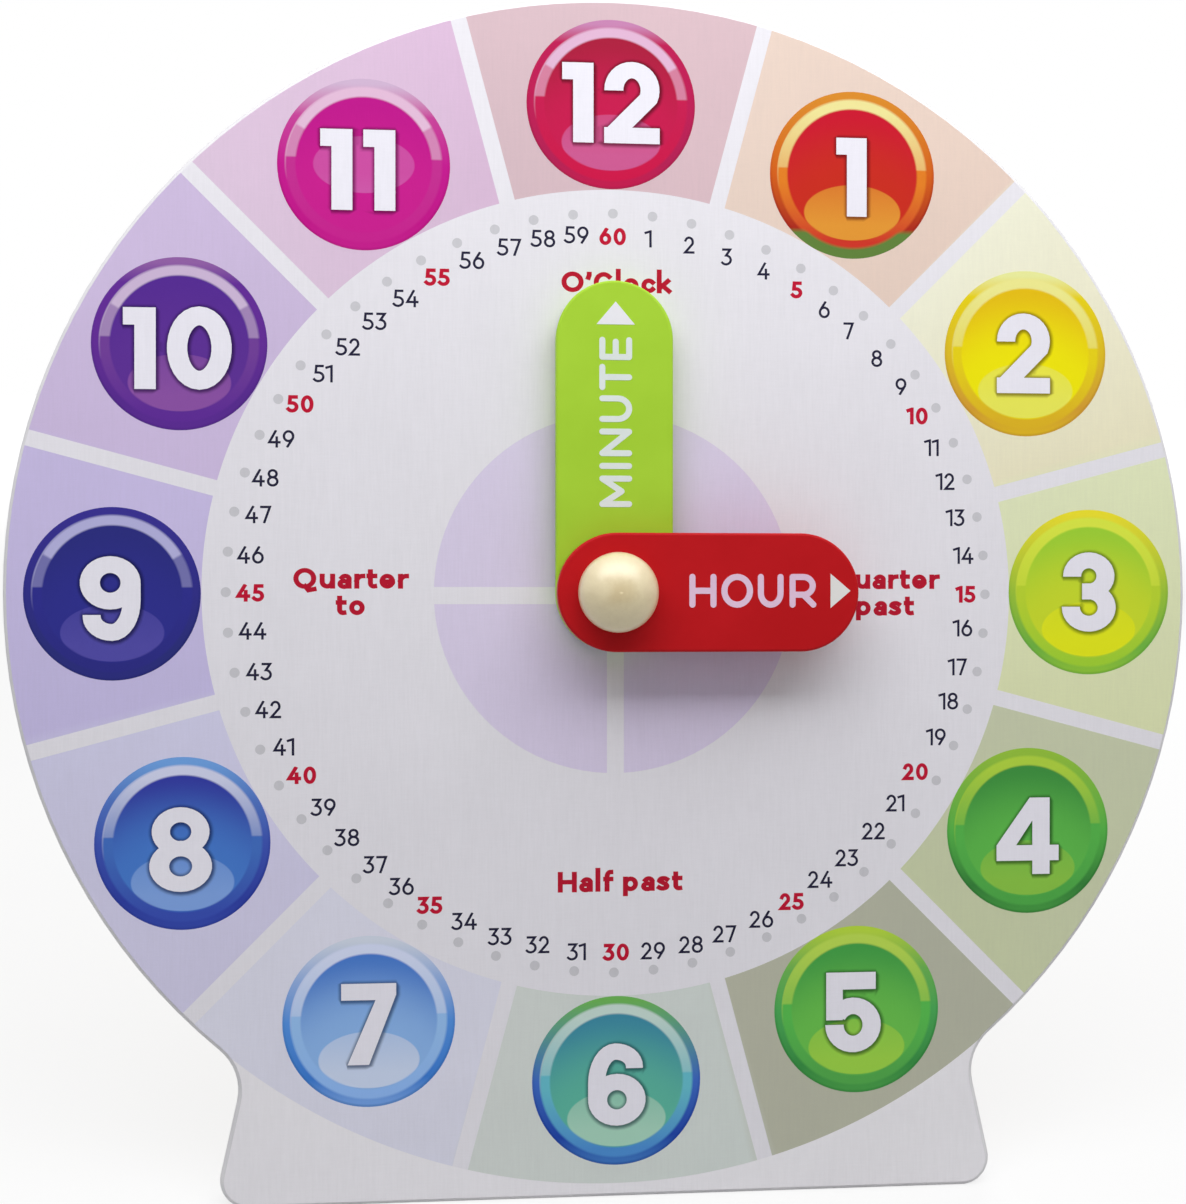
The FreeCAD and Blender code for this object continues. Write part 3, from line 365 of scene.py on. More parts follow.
HEAVY = {
    "0": (15.7, 20.5, heavy_ring(7.85, 10.25, 5.4, 7.95, (4.9, 4.6))),
    "1": (7.9, 20.1, [block(2.75, 7.9, 0, 20.1), block(0, 2.8, 15.8, 20.1)]),
    "2": (14.1, 20.6, heavy([(2.45, 13.3)] + arc(7.05, 13.5, 4.6, 5.05, 180, -25) + [(2.6, 2.6)]) + [block(0, 14.1, 0, 4.0)]),
    "3": (14.5, 20.6, heavy([(2.85, 14.3)] + arc(7.3, 14.5, 4.45, 4.05, 180, -90) + [(5.5, 10.45)])
          + heavy([(5.5, 10.5)] + arc(7.3, 6.3, 4.8, 4.2, 90, -180) + [(2.5, 6.5)])),
    "4": (16.5, 19.8, [
        [(0, 7.5), (5.2, 7.5), (9.5, 13.9), (9.5, 19.8), (8.8, 19.8)],
        block(9.5, 14.1, 0, 19.8), block(0, 9.5, 3.5, 7.5), block(14.1, 16.5, 3.5, 7.5),
    ]),
    "5": (14.4, 20.5, [block(0.2, 4.5, 8.3, 20.5), block(4.5, 13.1, 16.1, 20.5)]
          + heavy(arc(7.2, 7.0, 4.85, 4.9, 150, -180) + [(2.35, 7.1)], (4.75, 4.2))),
    "6": (14.6, 21.0, heavy_six()),
    "7": (13.6, 20.3, [[(1.55, 0), (6.9, 0), (13.6, 17.4), (13.6, 20.3), (0, 20.3), (0, 16.15), (8.5, 16.15)]]),
    "8": (15.2, 20.9, heavy_ring(7.6, 14.85, 4.8, 4.2, (4.4, 3.7)) + heavy_ring(7.6, 6.3, 5.2, 4.4, (4.8, 3.8))),
    "9": (14.6, 21.0, about_turn(heavy_six(), 14.6, 21.0)),
}


def hour_numeral(hour):
    """A heavy numeral's outlines round 0, 0."""
    drawn, length = set_line(str(hour), lambda char: (HEAVY[char][2], HEAVY[char][0]), HOUR_GAP)
    height = max(HEAVY[char][1] for char in str(hour))
    return moved(drawn, -length / 2, -height / 2)


def edge_distance(points, polygons):
    """How far each point is from the nearest edge of the outlines."""
    starts = np.array([p for polygon in polygons for p in polygon])
    ends = np.array([p for polygon in polygons for p in polygon[1:] + polygon[:1]])
    spans = ends - starts
    points = np.asarray(points, float)
    offsets = points[:, None, :] - starts[None]
    share = (offsets * spans).sum(2) / np.maximum((spans ** 2).sum(1), 1e-12)
    away = offsets - np.clip(share, 0, 1)[..., None] * spans
    return np.sqrt((away ** 2).sum(2)).min(1)


def inside(points, polygons):
    """Whether each point is inside any of the outlines."""
    points = np.asarray(points, float)
    found = np.zeros(len(points), bool)
    for polygon in polygons:
        odd = np.zeros(len(points), bool)
        for (ax, az), (bx, bz) in zip(polygon, polygon[1:] + polygon[:1]):
            if az == bz:
                continue
            crosses = (points[:, 1] < az) != (points[:, 1] < bz)
            odd ^= crosses & (points[:, 0] < ax + (points[:, 1] - az) * (bx - ax) / (bz - az))
        found |= odd
    return found


GLOW_RINGS = (0.35, 0.8, 1.4)   # extra points round a heavy numeral, for its soft dark edge
GLOW_PITCH = 1.0
GLOW_SHIFT = (0.15, -0.2)       # the dark edge is a little heavier to the right and below


def glow_points(polygons):
    """Points at set distances outside the outlines."""
    chosen = []
    for reach in GLOW_RINGS:
        tried = []
        for polygon in polygons:
            for (ax, az), (bx, bz) in zip(polygon, polygon[1:] + polygon[:1]):
                length = math.hypot(bx - ax, bz - az)
                if length < 1e-6:
                    continue
                nx, nz = (bz - az) / length, -(bx - ax) / length
                for i in range(math.ceil(length / GLOW_PITCH)):
                    t = i / math.ceil(length / GLOW_PITCH)
                    tried.append((ax + (bx - ax) * t + nx * reach, az + (bz - az) * t + nz * reach))
        clear = (edge_distance(tried, polygons) > 0.97 * reach) & ~inside(tried, polygons)
        chosen += [p for p, ok in zip(tried, clear) if ok]
    return chosen


# ---- Flat drawing cut into pieces --------------------------------------------------------------------------
def tidied(polygon):
    """An outline that runs counter-clockwise, without repeated points."""
    points = [p for p, q in zip(polygon, polygon[-1:] + polygon[:-1]) if math.dist(p, q) > 1e-4]
    return points if signed_area(points) > 0 else points[::-1]


def cut_up(layers, ground, loose=()):
    """Cuts overlapping outlines into triangles. layers is a list of (owner, outlines), and a later layer
    covers an earlier one. Only what lies inside the outlines of the owner ground is kept. Returns the points
    and, for each owner, its triangles."""
    shapes = [(owner, polygon) for owner, polygons in layers for polygon in map(tidied, polygons)]
    points, edges = [], []
    for _, polygon in shapes:
        first = len(points)
        points += polygon
        edges += [(first + i, first + (i + 1) % len(polygon)) for i in range(len(polygon))]
    made = delaunay_2d_cdt([Vector(p) for p in points + list(loose)], edges, [], 0, 1e-4, False)
    triangles = np.array([tuple(t) for t in made[2]])
    middles = np.array([tuple(p) for p in made[0]])[triangles].mean(1)
    top = np.full(len(triangles), -1)
    kept = np.zeros(len(triangles), bool)
    for number, (owner, polygon) in enumerate(shapes):
        low, high = np.min(polygon, 0), np.max(polygon, 0)
        near = np.flatnonzero(((middles > low) & (middles < high)).all(1))
        near = near[inside(middles[near], [polygon])]
        top[near] = number
        kept[near] |= owner == ground
    pieces = {}
    for triangle, number in zip(triangles[kept].tolist(), top[kept].tolist()):
        pieces.setdefault(shapes[number][0], []).append(tuple(triangle))
    return [tuple(p) for p in made[0]], pieces


def slab(name, points, groups, front, back, place, origin=(0.0, 0.0)):
    """A closed flat piece between two depths. groups is a list of lists of triangles, one per material."""
    triangles = [t for group in groups for t in group]
    used = sorted({i for t in triangles for i in t})
    number = {old: new for new, old in enumerate(used)}
    flat = [(points[i][0] - origin[0], points[i][1] - origin[1]) for i in used]
    verts = [(x * MM, y * MM, z * MM) for y in (front, back) for x, z in flat]
    count, faces, slots = len(used), [], []
    sides = {}
    for index, group in enumerate(groups):
        for t in group:
            a, b, c = (number[i] for i in t)
            if signed_area([flat[a], flat[b], flat[c]]) < 0:
                b, c = c, b
            faces += [(a, b, c), (c + count, b + count, a + count)]
            slots += [index, index]
            for edge in ((a, b), (b, c), (c, a)):
                sides[edge] = index
    for (a, b), index in sides.items():
        if (b, a) not in sides:
            faces.append((b, a, a + count, b + count))
            slots.append(index)
    mesh = bpy.data.meshes.new(name)
    mesh.from_pydata(verts, [], faces)
    mesh.polygons.foreach_set("material_index", slots)
    mesh.update()
    piece = bpy.data.objects.new(name, mesh)
    bpy.context.scene.collection.objects.link(piece)
    piece.matrix_world = place @ Matrix.Translation(Vector((origin[0] * MM, 0, origin[1] * MM)))
    return piece, flat


def node_loops(node):
    """Outlines of a flat CAD node's front face, the longest first, in the dial's frame."""
    spots = dial_points(node)
    front = spots[:, 1].min()
    keys = [tuple(np.round(p, 3)) for p in spots]
    directed = {}
    for face in NODES[node].data.polygons:
        corners = [keys[i] for i in face.vertices]
        if all(abs(c[1] - front) < 0.01 for c in corners):
            for a, b in zip(corners, corners[1:] + corners[:1]):
                directed[(a, b)] = True
    after = {a: b for a, b in directed if (b, a) not in directed}
    loops = []
    while after:
        start, here = next(iter(after.items()))
        loop = [start]
        del after[start]
        while here != start:
            loop.append(here)
            here = after.pop(here)
        loops.append([(float(x), float(z)) for x, _, z in loop])
    return sorted(loops, key=lambda loop: -abs(signed_area(loop)))


# ---- Colours: as painted or printed, in even light ---------------------------------------------------------
def rgb(code, alpha=1.0):
    """A colour from its display code, as the shader's own numbers."""
    parts = [int(code[i:i + 2], 16) / 255 for i in (0, 2, 4)]
    linear = [c / 12.92 if c <= 0.04045 else ((c + 0.055) / 1.055) ** 2.4 for c in parts]
    return (*linear, alpha)


def blend(a, b, share):
    """A colour part of the way from a to b."""
    return tuple(p + (q - p) * share for p, q in zip(a, b))


PRINT_SHEEN = 0.05          # specular level of the print: it mirrors little of the room
PAINT_SHEEN = 0.08          # specular level of the hands' paint
PRINT_WHITE = "ECEAF1"
FOOT_WHITE = "F4F2F7"
CENTRE_LILAC = "E0D6F0"
NAVY = "28263E"
CRIMSON = "C41A38"
WORD_RED = "BC1C34"
DOT_GREY = "CFCED4"
NUMERAL_WHITE = "F0EEF8"

# Sector tints, at the start and the end of each sector going clockwise
SECTOR_TINTS = {
    1: ("ECD6C8", "ECD4C6"), 2: ("F8F8E0", "F4EECC"), 3: ("EBF2C8", "E6ECBC"), 4: ("D2D8B8", "D4DCB4"),
    5: ("C0C2AE", "C2C3B0"), 6: ("DCE4E0", "DEE4E0"), 7: ("E8E8F8", "E8E8F8"), 8: ("DCD8F4", "DCDAF6"),
    9: ("CFC6F0", "D2C6F0"), 10: ("D6C4EA", "D4C2E6"), 11: ("E2CAE2", "DEBEDC"), 12: ("DABEC6", "DEC0C8"),
}

# Number discs: rim's top, sides and lower sides, gloss at the top, band round the disc and its bottom, disc's
# top and bottom, lower light
DISC_COLOURS = {
    1: ("DA8C2C", "D4601C", "AC281E", "EEE49A", "E48026", "D0382A", "CA1630", "CA2E20", "E69C38"),
    2: ("EEF0A0", "E2C028", "D8A036", "F2EE94", "ECD61C", "E2B828", "EAC218", "F6EC10", "EEEE60"),
    3: ("F4E836", "A2CA40", "74BC48", "E2F04C", "C0DC38", "A8D83A", "A4D83C", "D0E234", "ECF022"),
    4: ("9CCA44", "5CBC50", "3C8840", "B8DC48", "5CBC52", "54B04E", "449846", "64C052", "92CC4C"),
    5: ("BEE048", "52B25E", "3E964A", "C2E25A", "5EC456", "58B052", "4AA84E", "70C854", "A6DC4E"),
    6: ("74BE5E", "4470CC", "264AB0", "CEE4DC", "6CC4D4", "5294D8", "4492AC", "62BCA6", "B0DCC6"),
    7: ("D8E0F0", "5A98E8", "4282DA", "DCE4FE", "9CC6F6", "96C0FA", "5082D6", "92BCF2", "D4E0F8"),
    8: ("76AAEC", "445ABC", "3444AA", "D8DCF6", "4874C8", "3E54B8", "3A42AA", "4C80D4", "88ACEA"),
    9: ("3E3698", "36348E", "303480", "BAB8E4", "343494", "32328A", "303284", "343594", "5852AE"),
    10: ("9462A8", "66309A", "5A2E92", "D0BADA", "74429C", "62309A", "582E96", "603498", "9056A8"),
    11: ("D0B4D2", "C41A90", "C2168A", "E2BCD8", "C43092", "C82490", "BE168C", "CA2090", "D066B2"),
    12: ("C684B2", "BC1C54", "B22054", "E0B6D4", "C61C50", "CE184A", "A81C3C", "C81C50", "CE5E96"),
}
CUT_GLOSS = (9, 10, 11, 12)     # discs whose gloss steps down a third of the way round
# How strong the gloss is at its two ends
GLOSS_ENDS = {hour: 0.45 if hour in CUT_GLOSS else 0.5 for hour in range(1, 13)}
GLOSS_ENDS.update({4: 0.35, 6: 0.35, 8: 0.35, 9: 0.35})
# How far up the rim, from -1 to 1, its side colour reaches, and how much of the top colour is in it there
RIM_UPPER = {
    1: (0.48, 0.5), 2: (0.68, 0.0), 3: (0.48, 0.5), 4: (0.48, 0.5), 5: (0.48, 0.2), 6: (0.48, 0.5),
    7: (0.48, 0.38), 8: (0.48, 0.32), 9: (0.48, 0.5), 10: (0.70, 0.0), 11: (0.56, 0.1), 12: (0.72, 0.0),
}


# ---- Materials ---------------------------------------------------------------------------------------------
class Finish:
    """A material whose nodes are added by short calls. A value may be a number, a colour or a socket."""

    def __init__(self, name):
        self.material = bpy.data.materials.new(name)
        self.material.use_nodes = True
        self.nodes = self.material.node_tree.nodes
        self.links = self.material.node_tree.links
        self.surface = self.nodes["Principled BSDF"]

    def put(self, value, socket):
        if isinstance(value, bpy.types.NodeSocket):
            self.links.new(value, socket)
        else:
            socket.default_value = value

    def node(self, kind, inputs, **settings):
        made = self.nodes.new(kind)
        for key, value in settings.items():
            setattr(made, key, value)
        for key, value in inputs.items():
            self.put(value, made.inputs[key])
        return made

    def set(self, **values):
        """Values of the surface shader: roughness=0.4 sets its input Roughness."""
        for key, value in values.items():
            self.put(value, self.surface.inputs[key.replace("_", " ").title().replace("Ior", "IOR")])

    def math(self, operation, a, b=0.0, clamp=False):
        return self.node("ShaderNodeMath", {0: a, 1: b}, operation=operation, use_clamp=clamp).outputs[0]

    def mix(self, share, a, b):
        made = self.node("ShaderNodeMix", {0: share, 6: a, 7: b}, data_type="RGBA")
        return made.outputs[2]

    def spread(self, value, low, high, to_low=0.0, to_high=1.0, smooth=False):
        """Maps a range of a value to another range, and stops at its ends."""
        inputs = {"Value": value, 1: low, 2: high, 3: to_low, 4: to_high}
        kind = "SMOOTHSTEP" if smooth else "LINEAR"
        return self.node("ShaderNodeMapRange", inputs, interpolation_type=kind).outputs[0]

    def ramp(self, value, stops):
        """A colour for each value. stops is a list of (place, colour), in order."""
        made = self.node("ShaderNodeValToRGB", {0: value})
        elements = made.color_ramp.elements
        while len(elements) < len(stops):
            elements.new(1.0)
        for element, (place, colour) in zip(elements, stops):
            element.position = place
            element.color = colour
        return made.outputs[0]

    def coordinates(self, stretch=(1.0, 1.0, 1.0), turn=(0.0, 0.0, 0.0)):
        """Places on the object, in metres, stretched for grain."""
        place = self.node("ShaderNodeTexCoord", {}).outputs["Object"]
        inputs = {"Vector": place, "Scale": stretch, "Rotation": turn}
        return self.node("ShaderNodeMapping", inputs).outputs[0]

    def noise(self, scale, where, detail=3.0, roughness=0.55):
        inputs = {"Vector": where, "Scale": scale, "Detail": detail, "Roughness": roughness}
        return self.node("ShaderNodeTexNoise", inputs).outputs[0]

    def bump(self, height, depth, strength=1.0):
        """Relief from a height of 0 to 1, depth metres deep."""
        inputs = {"Height": height, "Distance": depth, "Strength": strength}
        self.links.new(self.node("ShaderNodeBump", inputs).outputs[0], self.surface.inputs["Normal"])


def print_relief(finish):
    """Satin laminate with a fine linen texture, the same on every printed piece. Its threads show most up the
    dial."""
    across = finish.noise(1.0, finish.coordinates((2000, 2000, 150)), 2.0)
    along = finish.noise(1.0, finish.coordinates((260, 2600, 2600)), 2.0)
    weave = finish.math("ADD", finish.math("MULTIPLY", across, 1.3), finish.math("MULTIPLY", along, 0.7))
    finish.bump(finish.math("MULTIPLY", weave, 0.5), 0.00006, 0.5)
    finish.set(roughness=finish.spread(weave, 0.6, 1.4, 0.34, 0.46), specular_ior_level=PRINT_SHEEN)
    return weave


def printed(name, code):
    """One printed colour with a faint unevenness of the ink."""
    finish = Finish(name)
    weave = print_relief(finish)
    cloud = finish.noise(40.0, finish.coordinates(), 2.0)
    shade = finish.math("ADD", finish.spread(weave, 0.6, 1.4, -0.35, 0.35), finish.spread(cloud, 0.3, 0.7, -0.15, 0.15))
    colour = rgb(code)
    dark, light = (tuple(min(1.0, c * k) for c in colour[:3]) + (1.0,) for k in (0.965, 1.035))
    finish.set(base_color=finish.mix(finish.math("ADD", shade, 0.5, True), dark, light))
    return finish.material


def sector_material():
    """The twelve tints round the dial, by angle."""
    finish = Finish("print_sectors")
    weave = print_relief(finish)
    place = finish.node("ShaderNodeSeparateXYZ", {0: finish.coordinates()})
    angle = finish.math("ARCTAN2", place.outputs["X"], place.outputs["Z"])
    share = finish.math("FRACT", finish.math("ADD", finish.math("DIVIDE", angle, 2 * math.pi), 1 / 24 + 1))
    stops = []
    for index, hour in enumerate((12, *range(1, 12))):
        first, last = SECTOR_TINTS[hour]
        stops += [(index / 12 + 0.0001, rgb(first)), ((index + 1) / 12 - 0.0001, rgb(last))]
    tint = finish.ramp(share, stops)
    cloud = finish.noise(40.0, finish.coordinates(), 2.0)
    fleck = finish.math("ADD", finish.spread(weave, 0.6, 1.4, 0.0, 0.06), finish.spread(cloud, 0.3, 0.7, 0.0, 0.04))
    finish.set(base_color=finish.mix(fleck, tint, rgb("8C8890")))
    return finish.material


def disc_material(hour):
    """A printed glossy button: shaded rim, pale gloss at the top, lit lower half, dark edge round the numeral."""
    rim_top, rim, rim_low, gloss, band_side, band_low, top, low, light = map(rgb, DISC_COLOURS[hour])
    finish = Finish(f"print_disc_{hour}")
    print_relief(finish)
    across = finish.node("ShaderNodeSeparateXYZ", {0: finish.coordinates((1 / (DISC_RADIUS * MM),) * 3)})
    x, z = across.outputs["X"], across.outputs["Z"]
    radius = finish.math("SQRT", finish.math("ADD", finish.math("MULTIPLY", x, x), finish.math("MULTIPLY", z, z)))

    def step(value, at, soft=0.012):
        return finish.spread(value, at - soft, at + soft)

    height = finish.math("ADD", finish.math("MULTIPLY", z, 0.75), finish.math("MULTIPLY", finish.math("MULTIPLY", radius, radius), 0.4))
    body = finish.mix(finish.spread(height, -0.1, 0.84, smooth=True), low, top)
    oval_x = finish.math("DIVIDE", x, 0.585)
    oval_z = finish.math("DIVIDE", finish.math("ADD", z, 0.45 if hour != 11 else 0.0), 0.33)
    oval = finish.math("ADD", finish.math("MULTIPLY", oval_x, oval_x), finish.math("MULTIPLY", oval_z, oval_z))
    lit = finish.math("SUBTRACT", 1.0, step(oval, 1.0, 0.03))
    body = finish.mix(finish.math("MULTIPLY", lit, finish.spread(z, -0.1, -0.6, 0.55, 0.95)), body, light)
    band = finish.mix(finish.spread(z, -0.1, -0.8), band_side, band_low)
    if hour in CUT_GLOSS:
        fade = finish.spread(finish.math("DIVIDE", z, radius), 0.49, 0.52, GLOSS_ENDS[hour], 1.0)
    else:
        fade = finish.spread(z, 0.1, 0.75, GLOSS_ENDS[hour], 1.0)
    band = finish.mix(finish.math("MULTIPLY", step(z, 0.077, 0.01), fade), band, gloss)
    bottom = blend(rim_low, band_low, 1.0 if hour == 2 else 0.55)
    place, share = RIM_UPPER[hour]
    upper = band_side if hour == 2 else blend(rim, rim_top, share)
    stops = [(0.03, bottom), (0.17, rim_low), (0.5, rim), ((1 + place) / 2, upper), (0.97, rim_top)]
    edge = finish.ramp(finish.spread(z, -1.0, 1.0), stops)
    outer = tuple(c * 0.7 for c in rim_low[:3]) + (1.0,)
    edge = finish.mix(finish.math("MULTIPLY", step(radius, 0.975), finish.spread(z, 0.4, -0.4, 0.0, 0.5)), edge, outer)
    colour = finish.mix(step(radius, 0.79), body, band)
    colour = finish.mix(step(radius, 0.905, 0.015), colour, edge)
    glint = finish.math("SUBTRACT", 1.0, finish.spread(finish.math("ABSOLUTE", finish.math("SUBTRACT", radius, 0.905)), 0.003, 0.014))
    left = finish.math("MULTIPLY", finish.spread(x, -0.3, -0.75), finish.spread(z, -0.2, 0.25, 0.0, 0.55))
    colour = finish.mix(finish.math("MULTIPLY", glint, left), colour, gloss)
    if hour == 1:
        foot = finish.math("MULTIPLY", step(radius, 0.875, 0.02), finish.spread(z, -0.64, -0.70))
        colour = finish.mix(foot, colour, rgb("62843E"))
    near = finish.node("ShaderNodeAttribute", {}, attribute_name="numeral_gap").outputs["Fac"]
    dark = tuple(c * 0.16 for c in top[:3]) + (1.0,)
    colour = finish.mix(finish.spread(near, 1.25, 0.0, 0.0, 0.78, smooth=True), colour, dark)
    finish.set(base_color=colour)
    return finish.material


def paint(name, code, deep, rough=0.36):
    """Sprayed satin paint over wood: faint orange peel and a slightly uneven colour."""
    finish = Finish(name)
    where = finish.coordinates()
    cloud = finish.noise(60.0, where, 3.0)
    fine = finish.noise(900.0, where, 2.0)
    finish.set(base_color=finish.mix(finish.spread(cloud, 0.3, 0.7), rgb(code), rgb(deep)))
    finish.set(roughness=finish.spread(fine, 0.35, 0.65, rough - 0.05, rough + 0.06), specular_ior_level=PAINT_SHEEN)
    finish.bump(finish.math("ADD", fine, finish.math("MULTIPLY", cloud, 2.0)), 0.00003, 0.4)
    return finish.material


def timber(finish, pale, dark, stretch, rings=14.0, swing=60.0, contrast=0.5, speckle=0.35):
    """Colour and relief of plain-sawn wood: growth rings as contours of a slow drift, fine fibres, and pores.
    stretch shortens the pattern along the grain."""
    where = finish.coordinates(stretch)
    drift = finish.noise(rings, where, 1.0, 0.3)
    bands = finish.math("SINE", finish.math("MULTIPLY", drift, swing))
    fibres = finish.noise(420.0, where, 4.0, 0.65)
    pores = finish.noise(1500.0, where, 2.0)
    share = finish.math("ADD", finish.spread(bands, -1.0, 1.0, 0.0, contrast, smooth=True),
                        finish.spread(fibres, 0.35, 0.65, 0.0, 0.5), True)
    colour = finish.mix(share, rgb(pale), rgb(dark))
    speck = finish.spread(pores, 0.60, 0.70, 0.0, speckle)
    shade = tuple(c * 0.55 for c in rgb(dark)[:3]) + (1.0,)
    return finish.mix(speck, colour, shade), finish.math("SUBTRACT", fibres, speck)


def wood(name, pale, dark, stretch, rough=0.5, depth=0.00004, gloss=0.5, coat=0.0, shaded_middle=None, **grain):
    """Bare or clear-varnished wood. A middle colour, if given, is painted shade: that darker colour is laid round the
    hands' axis in the middle of the face, where the knob's dome faces straight out.
    """
    finish = Finish(name)
    colour, relief = timber(finish, pale, dark, stretch, **grain)
    # Painted shade: a darker middle round the hands' axis, with a ragged edge, where the knob's dome faces straight out
    if shaded_middle:
        where = finish.coordinates()
        offset = finish.node("ShaderNodeVectorMath", {0: where, 1: DIAL.translation}, operation="SUBTRACT")
        across = finish.node("ShaderNodeVectorMath", {0: offset.outputs[0], 1: INWARD}, operation="CROSS_PRODUCT")
        away = finish.node("ShaderNodeVectorMath", {0: across.outputs[0]}, operation="LENGTH").outputs["Value"]
        ragged = finish.math("ADD", away, finish.spread(finish.noise(300.0, where), 0.3, 0.7, -0.0015, 0.0015))
        colour = finish.mix(finish.spread(ragged, 0.0055, 0.0005, smooth=True), colour, rgb(shaded_middle))
    finish.set(base_color=colour, roughness=finish.spread(relief, 0.2, 0.7, rough + 0.06, rough - 0.06))
    finish.set(specular_ior_level=gloss, coat_weight=coat, coat_roughness=0.32)
    finish.bump(relief, depth, 0.6)
    return finish.material


def plastic(name, code, rough, depth, scale=2200.0, sheen=0.5):
    """Moulded plastic with a fine spark-eroded texture and a faint flow mottle."""
    finish = Finish(name)
    where = finish.coordinates()
    fine = finish.noise(scale, where, 3.0)
    slow = finish.noise(35.0, where, 3.0)
    colour = rgb(code)
    shade = tuple(c * 0.90 for c in colour[:3]) + (1.0,)
    finish.set(base_color=finish.mix(finish.spread(slow, 0.3, 0.7, 0.0, 0.6), colour, shade))
    finish.set(roughness=finish.spread(fine, 0.3, 0.7, rough - 0.06, rough + 0.08), specular_ior_level=sheen)
    finish.bump(fine, depth, 0.6)
    return finish.material


def metal(name, code, rough, stretch=(1.0, 1.0, 1.0)):
    """Metal with a brushed or turned surface and a little tarnish."""
    finish = Finish(name)
    lines = finish.noise(1500.0, finish.coordinates(stretch), 3.0)
    stain = finish.noise(140.0, finish.coordinates(), 4.0)
    colour = rgb(code)
    dull = tuple(c * 0.72 for c in colour[:3]) + (1.0,)
    finish.set(base_color=finish.mix(finish.spread(stain, 0.45, 0.75, 0.0, 0.7), colour, dull), metallic=1.0)
    finish.set(roughness=finish.spread(lines, 0.3, 0.7, rough - 0.06, rough + 0.10))
    finish.bump(lines, 0.00002, 0.5)
    return finish.material


def felt(name, code):
    """Pressed felt: matted fibres."""
    finish = Finish(name)
    where = finish.coordinates()
    fibres = finish.noise(1800.0, where, 6.0, 0.8)
    colour = rgb(code)
    light = tuple(min(1.0, c * 1.9) for c in colour[:3]) + (1.0,)
    finish.set(base_color=finish.mix(finish.spread(fibres, 0.35, 0.7), colour, light), roughness=0.95)
    finish.set(sheen_weight=0.4, sheen_roughness=0.5)
    finish.bump(fibres, 0.0002, 0.8)
    return finish.material


def board_finish():
    """White-painted front edge and sides over wood, and the bare ply of the back."""
    finish = Finish("board_wood")
    ply, relief = timber(finish, "E4CFA9", "CCAE80", (1.0, 1.0, 0.05), 9.0, 90.0, 0.4)
    paint_cloud = finish.noise(55.0, finish.coordinates(), 3.0)
    coat = finish.mix(finish.spread(paint_cloud, 0.3, 0.7), rgb("EAE9EC"), rgb("DEDDE1"))
    normal = finish.node("ShaderNodeNewGeometry", {}).outputs["True Normal"]
    facing = finish.node("ShaderNodeVectorMath", {0: normal, 1: INWARD}, operation="DOT_PRODUCT").outputs["Value"]
    bare = finish.spread(facing, 0.6, 0.9)
    finish.set(base_color=finish.mix(bare, coat, ply), roughness=finish.spread(bare, 0, 1, 0.42, 0.66))
    finish.bump(finish.math("MULTIPLY", relief, finish.spread(bare, 0, 1, 0.15, 1.0)), 0.00006, 0.6)
    return finish.material


def dress(node, material):
    """Puts one material on all of a CAD node."""
    slots = NODES[node].data.materials
    slots.clear()
    slots.append(material)


# ---- The dial ----------------------------------------------------------------------------------------------
def hour_angle(hour):
    """Direction of an hour on the dial, in radians counter-clockwise from the right."""
    return math.radians(90 - 30 * hour)


def around(angle, radius):
    """A point of the dial."""
    return (radius * math.cos(angle), radius * math.sin(angle))


def sector(hour):
    """One tinted sector: its two sides run parallel to the middle of the pale bars beside it."""
    middle = math.degrees(hour_angle(hour))
    inner, outer = [], []
    for radius, edge in ((SECTOR_INNER, inner), (SECTOR_OUTER, outer)):
        low = middle - 15 + math.degrees(math.asin((BAR_NUDGES[hour - 1] + DIVIDER / 2) / radius))
        high = middle + 15 + math.degrees(math.asin((BAR_NUDGES[hour - 2] - DIVIDER / 2) / radius))
        edge += arc(0, 0, radius, radius, low, high, 1.5)
    for i, (x, z) in enumerate(inner):
        turn = math.atan2(z, x)
        waves = (math.cos(turn), math.sin(turn), math.cos(2 * turn), math.sin(2 * turn))
        share = 1 + float(np.dot(waves, INNER_WAVES)) / SECTOR_INNER
        inner[i] = (x * share, z * share)
    return inner[::-1] + outer


def quadrant(left, low):
    """A quarter of the centre disc, on the left or right and low or high side of the white cross."""
    quarter = circle(*CENTRE_MIDDLE, CENTRE_RADIUS, 90)
    for axis, below in enumerate((left, low)):
        edge = CROSS_MIDDLE[axis] + (-CENTRE_BAR if below else CENTRE_BAR) / 2
        quarter = clipped(quarter, axis, edge, below)
    return quarter


def minute_numeral(minute):
    """An upright minute numeral in its place."""
    style, widths = (LIGHT, LIGHT_WIDTHS) if minute % 5 else (BOLD, {})

    def digit(char):
        return glyph_lines(char, style, "square", widths.get(char, 0.0) * style["height"])

    drawn, length = set_line(str(minute), digit, style["gap"], tuck=style["tuck"])
    x, z = around(math.radians(90 - 6 * minute), MINUTE_PLACE)
    x += MINUTES_RIGHT[minute - 1] / 10
    z += MINUTES_UP[minute - 1] / 10
    return moved(drawn, x - length / 2, z - style["height"] / 2)


def dot_middle(minute):
    """Where a minute's dot is."""
    place = np.array(around(math.radians(90 - 6 * minute), DOT_PLACE))
    return (place + np.array(DOTS_STRETCH) @ place + DOTS_SHIFT).tolist()


def disc_middle(hour):
    """Where a number disc's middle is."""
    x, z = around(hour_angle(hour), DISC_PLACE)
    right, up = RING_SHIFT
    return (x - (RING_TURN + RING_LEAN) * z + right, z * (1 - RING_SQUEEZE) + RING_TURN * x + up)


# Phrases: text, where its middle and its base line lie, and the space between its letters
PHRASES = [
    ("O'Clock", 1.05, 75.7, 0.49),
    ("Half past", 1.9, -75.6, 0.62),
    ("Quarter", -65.5, 0.9, 0.62),
    ("to", -65.5, -5.7, 0.62),
    ("Quarter", 70.1, 0.9, 0.62),
    ("past", 70.1, -5.9, 0.62),
]


